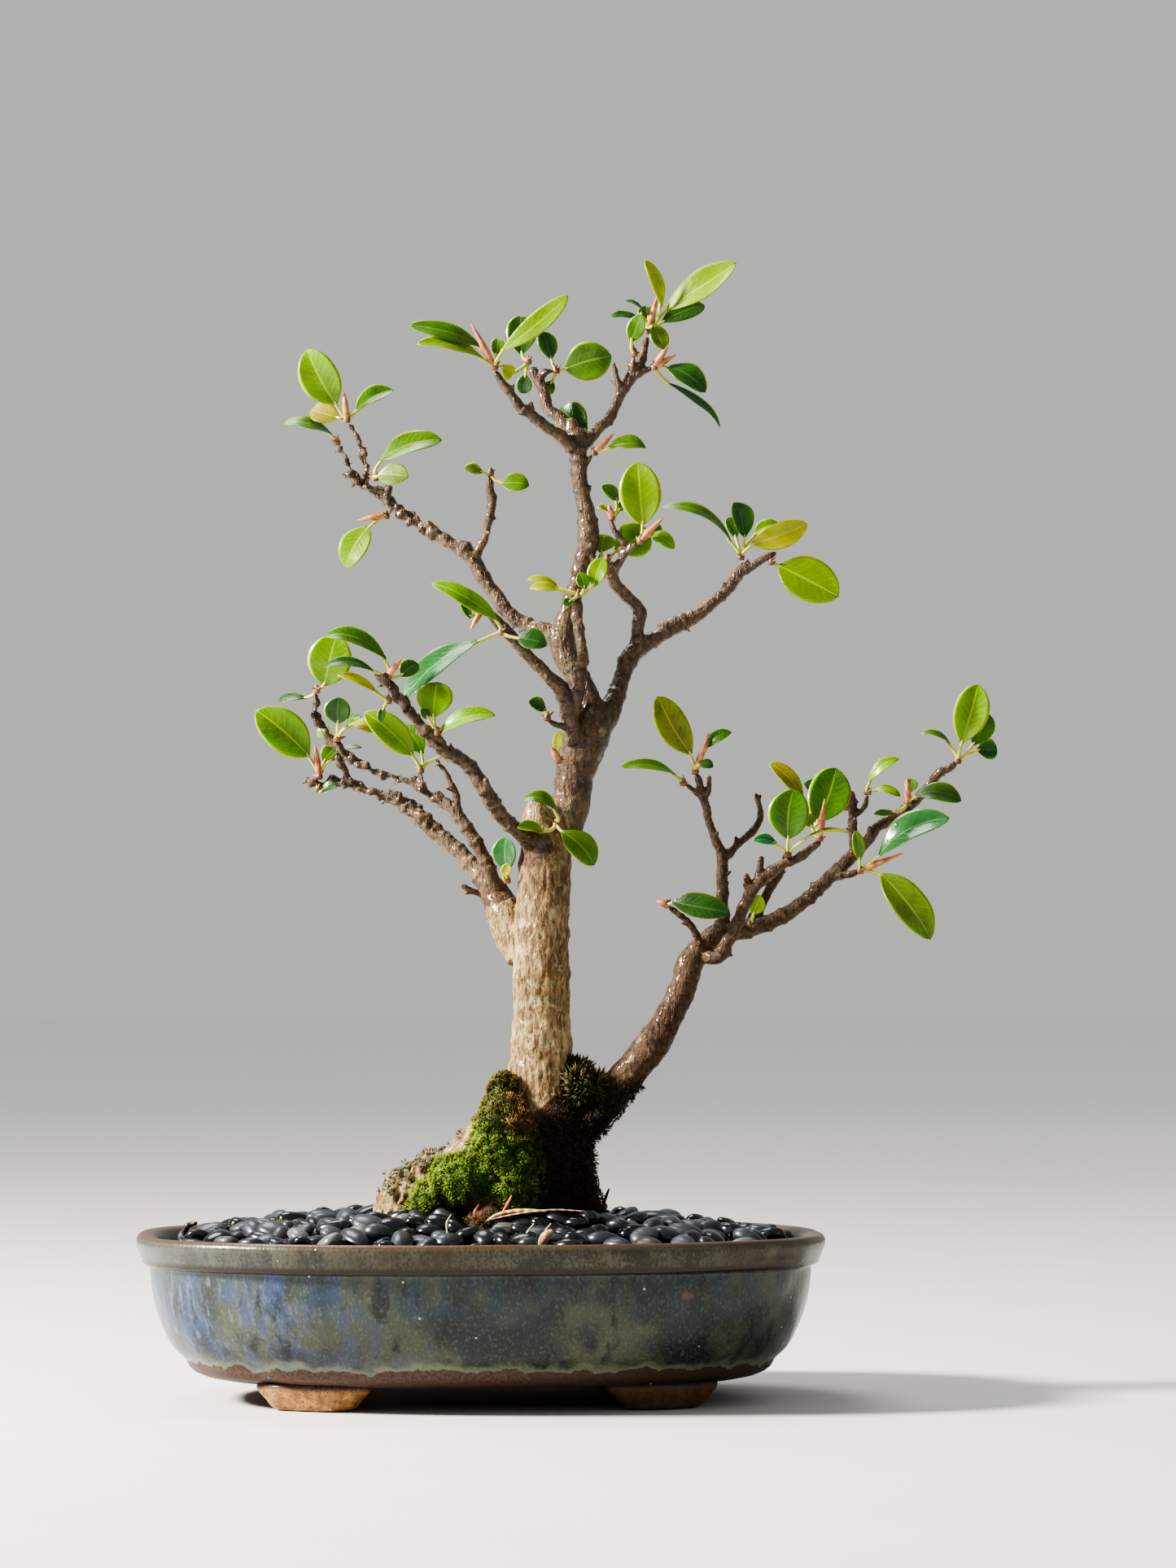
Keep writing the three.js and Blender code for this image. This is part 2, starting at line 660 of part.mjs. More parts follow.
    leaf([133, 4, 217], [131.8, 2.5, 222], 4, 0, 10),
  ], []],
  ["right_limb_spur_side", [141.2, 5.8, 220], [
    leaf([141.4, 5, 223.5], [152, 2, 232.3], 5, 0, 35, 0.15),
    leaf([143.5, 5.5, 221], [153, 3, 218.3], 4.5, 0, 45, 0.15),
  ], []],
  ["right_limb_side", [138.4, 5.4, 191.2], [
    leaf([138, 3.5, 195], [136.5, 1, 205.5], 4.8, 0, 15),
    leaf([145, 3, 196.5], [170.5, -3, 210], 14, 0, 45, 0.14),
    leaf([146, 4.5, 190], [164, -1, 166.5], 14, 10, 20, 0.08),
  ], [[154, 4.5, 197.5]]],
  ["right_limb_upper", [156.3, 12.4, 216.2], [
    leaf([159, 10.5, 219], [175.5, 7, 217], 9, 0, 35, 0.14),
    leaf([151.5, 10, 212.5], [143.5, 7, 212], 3.5, 0, 40),
    leaf([157, 15.5, 220], [158, 18, 225.5], 5, 0, 15),
  ], [[156, 11, 225]]],
  ["right_limb_tip", [174.8, 15.2, 231.8], [
    leaf([176, 13.5, 238], [182, 10, 259.5], 13, 0, 5, 0.05),
    leaf([180.5, 17, 237.5], [187, 20.5, 249], 9, 0, 10, 0.06),
    leaf([182, 18.5, 236], [190, 21, 236], 8, 0, 10),
    leaf([172, 14.5, 238], [161, 12, 242], 4.5, 0, 55, 0.14),
  ], []],
];

// Moss: lumps on the trunk's foot, each [x, y, z, radius].
const MOSS = {
  front: [
    [11, -12, 108, 11],
    [8, -17, 97, 13],
    [8, -18, 88, 16],
    [-6, -20, 79, 12.5],
    [-17, -17, 72, 9],
    [12, -22, 76, 12],
  ],
  right: [
    [36, -6, 113.5, 7.5],
    [40.5, -5, 112, 6],
    [34.5, -5, 118, 5.5],
  ],
};

// ---------------------------------------------------------------- solids

// A three.js geometry as a manifold solid, turned to face out if its winding faces in.
function solidOf(geometry) {
  const bare = new THREE.BufferGeometry();
  bare.setAttribute("position", geometry.getAttribute("position"));
  bare.setIndex(geometry.index);
  const merged = mergeVertices(bare, 1e-4);
  const vertProperties = new Float32Array(merged.getAttribute("position").array);
  const triVerts = new Uint32Array(merged.index.array);
  const made = new wasm.Manifold(new wasm.Mesh({ numProp: 3, vertProperties, triVerts }));
  if (made.volume() > 0) return made;
  return new wasm.Manifold(new wasm.Mesh({ numProp: 3, vertProperties, triVerts: triVerts.reverse() }));
}

// A manifold solid as a three.js geometry with flat faces.
function geometryOf(solid) {
  const mesh = solid.getMesh();
  const indexed = new THREE.BufferGeometry();
  indexed.setAttribute("position", new THREE.BufferAttribute(mesh.vertProperties, mesh.numProp));
  indexed.setIndex(new THREE.BufferAttribute(mesh.triVerts, 1));
  const flat = indexed.toNonIndexed();
  flat.computeVertexNormals();
  return flat;
}

const union = (solids) => solids.reduce((all, solid) => all.add(solid));

// A closed skin over rings of points, each with the same number of points, with a cap at both ends.
function loft(rings) {
  const count = rings[0].length;
  const points = rings.flat();
  const faces = [];
  for (let ring = 0; ring + 1 < rings.length; ring++) {
    for (let i = 0; i < count; i++) {
      const here = ring * count + i;
      const next = ring * count + ((i + 1) % count);
      faces.push(here, next, next + count, here, next + count, here + count);
    }
  }
  const cap = (ring, turned) => {
    if (count === 3) {
      const corners = [0, 1, 2].map((i) => rings.indexOf(ring) * count + i);
      faces.push(...(turned ? corners : corners.reverse()));
      return;
    }
    const centre = new THREE.Vector3();
    ring.forEach((point) => centre.addScaledVector(point, 1 / count));
    const first = rings.indexOf(ring) * count;
    const hub = points.push(centre) - 1;
    for (let i = 0; i < count; i++) {
      const edge = [first + i, first + ((i + 1) % count)];
      faces.push(hub, ...(turned ? edge : edge.reverse()));
    }
  };
  cap(rings[0], false);
  cap(rings.at(-1), true);
  const geometry = new THREE.BufferGeometry().setFromPoints(points);
  return solidOf(geometry.setIndex(faces));
}

// ---------------------------------------------------------------- the pot

const HALF_LENGTH = POT_LENGTH / 2;
const HALF_DEPTH = POT_DEPTH / 2;
const POT_SIDES = 32;
const BODY_TOP = POT_HEIGHT - LIP_HEIGHT;
const FLOOR_TOP = FOOT_HEIGHT + FLOOR;

// The point of the oval that lies `inset` inside the rim's outline, at an angle of the oval in radians.
function ovalPoint(inset, angle, z = 0) {
  const along = (value) => Math.sign(value) * Math.abs(value) ** (2 / OVAL_POWER);
  return new THREE.Vector3(
    (HALF_LENGTH - inset) * along(Math.cos(angle)),
    (HALF_DEPTH - inset) * along(Math.sin(angle)),
    z,
  );
}

// How far the body's outside lies inside the rim's outline at a height.
function bodyInset(z) {
  const down = THREE.MathUtils.clamp((BODY_TOP - z) / (BODY_TOP - FOOT_HEIGHT), 0, 1);
  return LIP_OVERHANG + (BASE_INSET - LIP_OVERHANG) * down ** 2.1;
}

// An oval solid from a profile of [inset, z] points, closed by flat faces at its two ends.
function ovalSolid(profile) {
  const ring = ([inset, z]) =>
    Array.from({ length: POT_SIDES }, (_, i) => ovalPoint(inset, (2 * Math.PI * i) / POT_SIDES, z));
  return loft(profile.map(ring));
}

function heights(from, to, count) {
  return Array.from({ length: count }, (_, i) => from + ((to - from) * i) / (count - 1));
}

function potBody() {
  const outside = heights(FOOT_HEIGHT + BASE_ROUNDING / 2, BODY_TOP - 2, 5).map((z) => [bodyInset(z), z]);
  return ovalSolid([
    [BASE_INSET + BASE_ROUNDING, FOOT_HEIGHT],
    ...outside,
    [LIP_OVERHANG, BODY_TOP],
    [EDGE_ROUNDING, BODY_TOP + 1],
    [0, BODY_TOP + 2 + EDGE_ROUNDING],
    [0, POT_HEIGHT - 1 - EDGE_ROUNDING],
    [EDGE_ROUNDING, POT_HEIGHT],
    [RIM_WIDTH - 1, POT_HEIGHT],
    [RIM_WIDTH, POT_HEIGHT - 1],
    [RIM_WIDTH, POT_HEIGHT - 2],
  ]);
}

const RIM_INSIDE_Z = POT_HEIGHT - 4; // where the inside reaches the rim's width

// How far the wall's inside lies inside the rim's outline at a height.
function cavityInset(z) {
  const flare = THREE.MathUtils.clamp((z - BODY_TOP) / (RIM_INSIDE_Z - BODY_TOP), 0, 1);
  return THREE.MathUtils.lerp(bodyInset(z) + WALL, RIM_WIDTH, flare);
}

// The profile of the space inside the pot, a clearance inside its walls, from the floor up to a height.
function cavityProfile(clearance, top) {
  const levels = [...heights(FLOOR_TOP + FLOOR_ROUNDING - 1, BODY_TOP, 5), RIM_INSIDE_Z];
  const sides = [...levels.filter((z) => z < top - 0.5), top];
  const floorInset = cavityInset(FLOOR_TOP) + FLOOR_ROUNDING + clearance;
  return [[floorInset, FLOOR_TOP + clearance], ...sides.map((z) => [cavityInset(z) + clearance, z])];
}

const potCavity = () => ovalSolid(cavityProfile(0, POT_HEIGHT + 1));

// One foot: a curved block under the body's edge that narrows towards the table.
function potFoot(turn) {
  const steps = 6;
  const level = (flare, z) => {
    const half = THREE.MathUtils.degToRad(FOOT_SPAN / 2 - FOOT_FLARE * flare);
    const outer = BASE_INSET + FOOT_SETBACK + FOOT_UNDERCUT * flare;
    const inner = BASE_INSET + FOOT_WIDTH;
    const angles = heights(turn - half, turn + half, steps);
    const outside = angles.map((angle) => ovalPoint(outer, angle, z));
    const inside = angles.map((angle) => ovalPoint(inner, angle, z)).reverse();
    return [...outside, ...inside];
  };
  const flared = [level(1, 0), level(0.55, FOOT_HEIGHT * 0.35)];
  const straight = [level(0, FOOT_HEIGHT * 0.9), level(0, FOOT_HEIGHT + 2)];
  return loft([...flared, ...straight]);
}

// An upright cylinder at `x` on the pot's long axis.
function upright(x, radius, low, high) {
  const cylinder = new THREE.CylinderGeometry(radius, radius, high - low, 20);
  cylinder.rotateX(Math.PI / 2);
  cylinder.translate(x, 0, (low + high) / 2);
  return solidOf(cylinder);
}

const DRAINS = [-DRAIN_SPACING / 2, DRAIN_SPACING / 2];
const PANEL_INSET = BASE_INSET + FOOT_WIDTH + FOOT_TO_PANEL;

function potWall() {
  const turn = THREE.MathUtils.degToRad(FOOT_TURN);
  const feet = [turn, Math.PI - turn, Math.PI + turn, -turn].map(potFoot);
  const panelRoom = ovalSolid([[PANEL_INSET - GAP, 0], [PANEL_INSET - GAP, FLOOR_TOP + 1]]);
  return potBody().add(union(feet)).subtract(potCavity().add(panelRoom));
}

// The floor inside the feet, with the drainage holes.
function potFloor() {
  const holes = DRAINS.map((x) => upright(x, DRAIN_RADIUS, 0, FLOOR_TOP + 1));
  return ovalSolid([[PANEL_INSET, FOOT_HEIGHT], [PANEL_INSET, FLOOR_TOP]]).subtract(union(holes));
}

// A square-meshed disc that lies over a drainage hole.
function screen(x) {
  const low = FLOOR_TOP + GAP;
  const disc = upright(x, SCREEN_RADIUS, low, low + SCREEN_THICK);
  const reach = Math.floor(SCREEN_RADIUS / SCREEN_PITCH);
  const holes = [];
  for (let column = -reach; column <= reach; column++) {
    for (let row = -reach; row <= reach; row++) {
      const [dx, dy] = [column * SCREEN_PITCH, row * SCREEN_PITCH];
      if (Math.hypot(dx, dy) > SCREEN_RADIUS - SCREEN_PITCH * 0.8) continue;
      const hole = new THREE.BoxGeometry(SCREEN_HOLE, SCREEN_HOLE, SCREEN_THICK * 3);
      holes.push(solidOf(hole.translate(x + dx, dy, low)));
    }
  }
  return disc.subtract(union(holes));
}

// ---------------------------------------------------------------- the tree

const SOIL_EDGE = POT_HEIGHT - SOIL_BELOW_RIM;
const PEBBLE_EDGE = POT_HEIGHT - PEBBLES_BELOW_RIM;
const TREE_SCALE = TREE_HEIGHT / (DRAWN_TOP - DRAWN_SOIL);
const TREE_SPIN = new THREE.Matrix4().makeRotationZ(THREE.MathUtils.degToRad(TREE_TURN));

// A point of the drawing, in the part's own frame.
function placed([x, y, z]) {
  const point = new THREE.Vector3(x, y, z - DRAWN_SOIL).multiplyScalar(TREE_SCALE);
  point.z += SOIL_EDGE;
  return point.applyMatrix4(TREE_SPIN);
}

// A tapered tube with a blunt end, through centre points with a radius at each.
function limb(points, radii, sides, steps) {
  const curve = new THREE.CatmullRomCurve3(points, false, "centripetal");
  const last = (points.length - 1) * steps;
  const rings = [];
  let across = new THREE.Vector3(0, 1, 0);
  const ringAt = (centre, tangent, radius) => {
    across = across.clone().addScaledVector(tangent, -across.dot(tangent)).normalize();
    const other = tangent.clone().cross(across);
    return Array.from({ length: sides }, (_, i) => {
      const angle = (2 * Math.PI * i) / sides;
      const point = centre.clone().addScaledVector(across, radius * Math.cos(angle));
      return point.addScaledVector(other, radius * Math.sin(angle));
    });
  };
  if (Math.abs(curve.getTangent(0).y) > 0.9) across = new THREE.Vector3(1, 0, 0);
  for (let step = 0; step <= last; step++) {
    const whole = Math.min(Math.floor(step / steps), points.length - 2);
    const share = step / steps - whole;
    const radius = THREE.MathUtils.lerp(radii[whole], radii[whole + 1], share);
    rings.push(ringAt(curve.getPoint(step / last), curve.getTangent(step / last), radius));
  }
  const tangent = curve.getTangent(1);
  const end = points.at(-1).clone().addScaledVector(tangent, radii.at(-1) * 0.6);
  rings.push(ringAt(end, tangent, radii.at(-1) * 0.55));
  return loft(rings);
}

// How round and how smooth a limb is, by its largest radius.
const LIMB_DETAIL = [
  { over: 9, sides: 10, steps: 2 },
  { over: 4, sides: 7, steps: 1 },
  { over: 0, sides: 5, steps: 1 },
];

// The limbs of the drawing, each grown by `extra` all round.
function limbSolids(extra) {
  return Object.values(LIMBS).map((line) => {
    const radii = line.map((point) => point[3] * TREE_SCALE * LIMB_THICKNESS + extra);
    const { sides, steps } = LIMB_DETAIL.find(({ over }) => Math.max(...radii) > over);
    return limb(line.map(placed), radii, sides, steps);
  });
}

// Roots from under the trunk towards the pot's wall, inside the soil.
function buriedRoots(extra) {
  const low = FLOOR_TOP + 12;
  return BURIED_ROOTS.map(({ turn, reach, radius }) => {
    const angle = THREE.MathUtils.degToRad(turn);
    const start = placed([18, 0, DRAWN_SOIL + 6]);
    const wall = ovalPoint(cavityInset(low), angle, low);
    const end = start.clone().lerp(wall, reach).setZ(low);
    const middle = start.clone().lerp(end, 0.5).setZ(SOIL_EDGE - 14);
    const radii = [radius * 1.6, radius, radius * 0.35].map((value) => value * LIMB_THICKNESS + extra);
    return limb([start, middle, end], radii, 6, 2);
  });
}

const treeSolid = (extra) => union([...limbSolids(extra), ...buriedRoots(extra)]);

// ---------------------------------------------------------------- soil, pebbles and moss

// The rings of a crowned surface that starts at the pot's wall and rises towards the middle.
function crown(edge, rise) {
  const inset = cavityInset(edge) + GAP;
  return [0.8, 0.55, 0.3, 0.1].map((share) => [
    inset + (HALF_DEPTH - inset) * (1 - share),
    edge + rise * (1 - share * share),
  ]);
}

const soilBlock = () => ovalSolid([...cavityProfile(GAP, SOIL_EDGE), ...crown(SOIL_EDGE, SOIL_CROWN)]);

function soil(treeRoom) {
  const screenTop = FLOOR_TOP + SCREEN_THICK + 2 * GAP;
  const overScreens = DRAINS.map((x) => upright(x, SCREEN_RADIUS + GAP, 0, screenTop));
  return soilBlock().subtract(union([treeRoom, ...overScreens]));
}

// The pebbles lie on the soil, so their underside is the soil's top, a gap higher.
function pebbleBlock() {
  const sides = [SOIL_EDGE + GAP, PEBBLE_EDGE].map((z) => [cavityInset(z) + GAP, z]);
  return ovalSolid([...sides, ...crown(PEBBLE_EDGE, PEBBLES_CROWN)]);
}

const raised = (solid) => solid.translate([0, 0, GAP]);

const pebbles = (treeRoom) => pebbleBlock().subtract(treeRoom.add(raised(soilBlock())));

// Moss grows on the trunk's foot and over the pebbles beside it.
function moss(lumps, treeRoom) {
  const balls = lumps.map(([x, y, z, radius]) => {
    const ball = new THREE.IcosahedronGeometry(radius * TREE_SCALE, 1);
    return solidOf(ball.translate(...placed([x, y, z])));
  });
  return union(balls).subtract(treeRoom.add(raised(pebbleBlock())));
}

// ---------------------------------------------------------------- shoots

// A stalk and blade: a three-cornered loft from the shoot to the blade's tip.
function leafSolid(at, { base, tip, width, right, up, arch }) {
  const start = placed(at);
  const foot = placed(base);
  const span = placed(tip).sub(foot).multiplyScalar(LEAF_SIZE);
  const along = span.clone().normalize();
  const stalk = foot.clone().sub(start).normalize();
  const [turn, lift] = [right + TREE_TURN, up].map(THREE.MathUtils.degToRad);
  const facing = new THREE.Vector3(
    Math.sin(turn) * Math.cos(lift),
    -Math.cos(turn) * Math.cos(lift),
    Math.sin(lift),
  );
  const side = along.clone().cross(facing).normalize();
  const out = side.clone().cross(along);
  const ringAt = (centre, direction, half, thick) => {
    const bend = new THREE.Quaternion().setFromUnitVectors(along, direction);
    const [across, back] = [side, out].map((axis) => axis.clone().applyQuaternion(bend));
    return [
      centre.clone().addScaledVector(across, half),
      centre.clone().addScaledVector(across, -half),
      centre.clone().addScaledVector(back, -thick),
    ];
  };
  const half = (width / 2) * TREE_SCALE * LEAF_SIZE;
  const bladeRing = (share, wide) => {
    const rise = 4 * arch * share * (1 - share) * span.length();
    const centre = foot.clone().addScaledVector(span, share).addScaledVector(out, rise);
    return ringAt(centre, along, half * wide, LEAF_THICK * TREE_SCALE);
  };
  const bent = stalk.clone().add(along).normalize();
  const [thin, fine] = [STALK_RADIUS, LEAF_TIP].map((value) => value * TREE_SCALE);
  return loft([
    ringAt(start, stalk, thin, thin),
    ringAt(foot, bent, thin, thin),
    bladeRing(0.3, 0.95),
    bladeRing(0.72, 0.88),
    ringAt(foot.clone().add(span), along, fine, fine),
  ]);
}

function budSolid(at, tip) {
  const [start, end] = [placed(at), placed(tip)];
  const middle = start.clone().lerp(end, 0.45);
  const radii = BUD_RADII.map((value) => value * TREE_SCALE);
  return limb([start, middle, end], radii, 3, 1);
}

// How far a shoot moves out when LIMB_THICKNESS makes the limb that it grows on thicker than drawn: by the
// limb's growth, from the nearest point of the limb's centre line towards the shoot's leaves.
function pushedOut(at, leaves, buds) {
  const start = new THREE.Vector3(...at);
  const apart = ([x, y, z, radius]) => start.distanceTo(new THREE.Vector3(x, y, z)) - radius;
  const nearer = (one, other) => (apart(other) < apart(one) ? other : one);
  const nearest = Object.values(LIMBS).flat().reduce(nearer);
  const ends = [at, ...leaves.map(({ base }) => base), ...buds].map(placed);
  const middle = ends.reduce((sum, end) => sum.add(end), new THREE.Vector3()).divideScalar(ends.length);
  const growth = nearest[3] * TREE_SCALE * (LIMB_THICKNESS - 1);
  return middle.sub(placed(nearest.slice(0, 3))).setLength(growth);
}

function shootSolid([, at, leaves, buds], tree) {
  const knot = new THREE.IcosahedronGeometry(SHOOT_RADIUS * TREE_SCALE, 0);
  knot.translate(...placed(at));
  const blades = leaves.map((one) => leafSolid(at, one));
  const sheaths = buds.map((tip) => budSolid(at, tip));
  const shoot = union([solidOf(knot), ...blades, ...sheaths]);
  return shoot.translate(...pushedOut(at, leaves, buds)).subtract(tree);
}

// ---------------------------------------------------------------- assembly

const GLAZE = new THREE.MeshStandardMaterial({ color: 0x4c5a58, roughness: 0.35 });
const MESH_PLASTIC = new THREE.MeshStandardMaterial({ color: 0x20231f, roughness: 0.6 });
const EARTH = new THREE.MeshStandardMaterial({ color: 0x3a2b20, roughness: 1 });
const STONE = new THREE.MeshStandardMaterial({ color: 0x24262a, roughness: 0.25 });
const BARK = new THREE.MeshStandardMaterial({ color: 0x8a6a4c, roughness: 0.85 });
const MOSS_GREEN = new THREE.MeshStandardMaterial({ color: 0x4e7a1c, roughness: 1 });
const LEAF_GREEN = new THREE.MeshStandardMaterial({ color: 0x6f9a1c, roughness: 0.4 });

const bonsai = new THREE.Group();
bonsai.name = "potted_bonsai";

function add(name, solid, material) {
  const mesh = new THREE.Mesh(geometryOf(solid), material);
  mesh.name = name;
  bonsai.add(mesh);
}

const tree = treeSolid(0);
const treeRoom = treeSolid(GAP);

add("pot", potWall(), GLAZE);
add("pot_floor", potFloor(), GLAZE);
add("drainage_screen_left", screen(DRAINS[0]), MESH_PLASTIC);
add("drainage_screen_right", screen(DRAINS[1]), MESH_PLASTIC);
add("soil", soil(treeRoom), EARTH);
add("pebble_topping", pebbles(treeRoom), STONE);
add("tree_wood", tree, BARK);
for (const [name, lumps] of Object.entries(MOSS)) {
  add(`moss_${name}`, moss(lumps, treeRoom), MOSS_GREEN);
}
for (const shoot of SHOOTS) {
  add(`shoot_${shoot[0]}`, shootSolid(shoot, treeRoom), LEAF_GREEN);
}

// The origin is the middle of the whole object's footprint, on the table.
const box = new THREE.Box3().setFromObject(bonsai);
const middle = box.getCenter(new THREE.Vector3());
bonsai.position.set(-middle.x, -middle.y, -box.min.z);

export default bonsai;
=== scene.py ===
import math
import random

import bmesh
import bpy
import numpy as np
from mathutils import Matrix, Vector, kdtree, noise


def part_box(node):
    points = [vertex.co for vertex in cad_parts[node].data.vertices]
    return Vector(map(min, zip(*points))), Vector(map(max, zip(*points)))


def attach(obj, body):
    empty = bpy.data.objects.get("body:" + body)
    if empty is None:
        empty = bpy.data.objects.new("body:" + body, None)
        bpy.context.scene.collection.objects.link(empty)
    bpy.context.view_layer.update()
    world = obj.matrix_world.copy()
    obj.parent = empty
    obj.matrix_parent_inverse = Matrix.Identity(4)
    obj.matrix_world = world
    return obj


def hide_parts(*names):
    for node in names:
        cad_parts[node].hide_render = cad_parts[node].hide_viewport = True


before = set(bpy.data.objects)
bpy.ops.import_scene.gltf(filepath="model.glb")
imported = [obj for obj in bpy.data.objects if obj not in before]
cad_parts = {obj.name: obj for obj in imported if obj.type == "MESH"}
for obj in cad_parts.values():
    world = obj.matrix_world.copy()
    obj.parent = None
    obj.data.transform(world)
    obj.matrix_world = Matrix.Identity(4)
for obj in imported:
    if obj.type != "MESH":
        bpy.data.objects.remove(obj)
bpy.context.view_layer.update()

# The tree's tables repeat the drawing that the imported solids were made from: millimetres, seen from the
# tree's front, x to the right, y away, z above the table.

MM = 0.001
TREE_TURN = math.radians(-4.5)  # how far the tree's front is turned from the pot's
SOIL_BELOW_RIM = 5  # at the pot's wall
DRAWN_SOIL = 55  # the soil line in the tables
OVAL_POWER = 2.5  # 2 is an ellipse, larger is squarer

POT_LOW, POT_HIGH = (Vector(corner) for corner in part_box("pot"))
POT_MIDDLE = (POT_LOW + POT_HIGH) / 2


def leaf(tone, base, tip, width, right, up, arch=0.06):
    """A leaf: its colour, its blade's ends and width, the way that its upper side faces, and its arch."""
    return {"tone": tone, "base": base, "tip": tip, "width": width, "right": right, "up": up, "arch": arch}


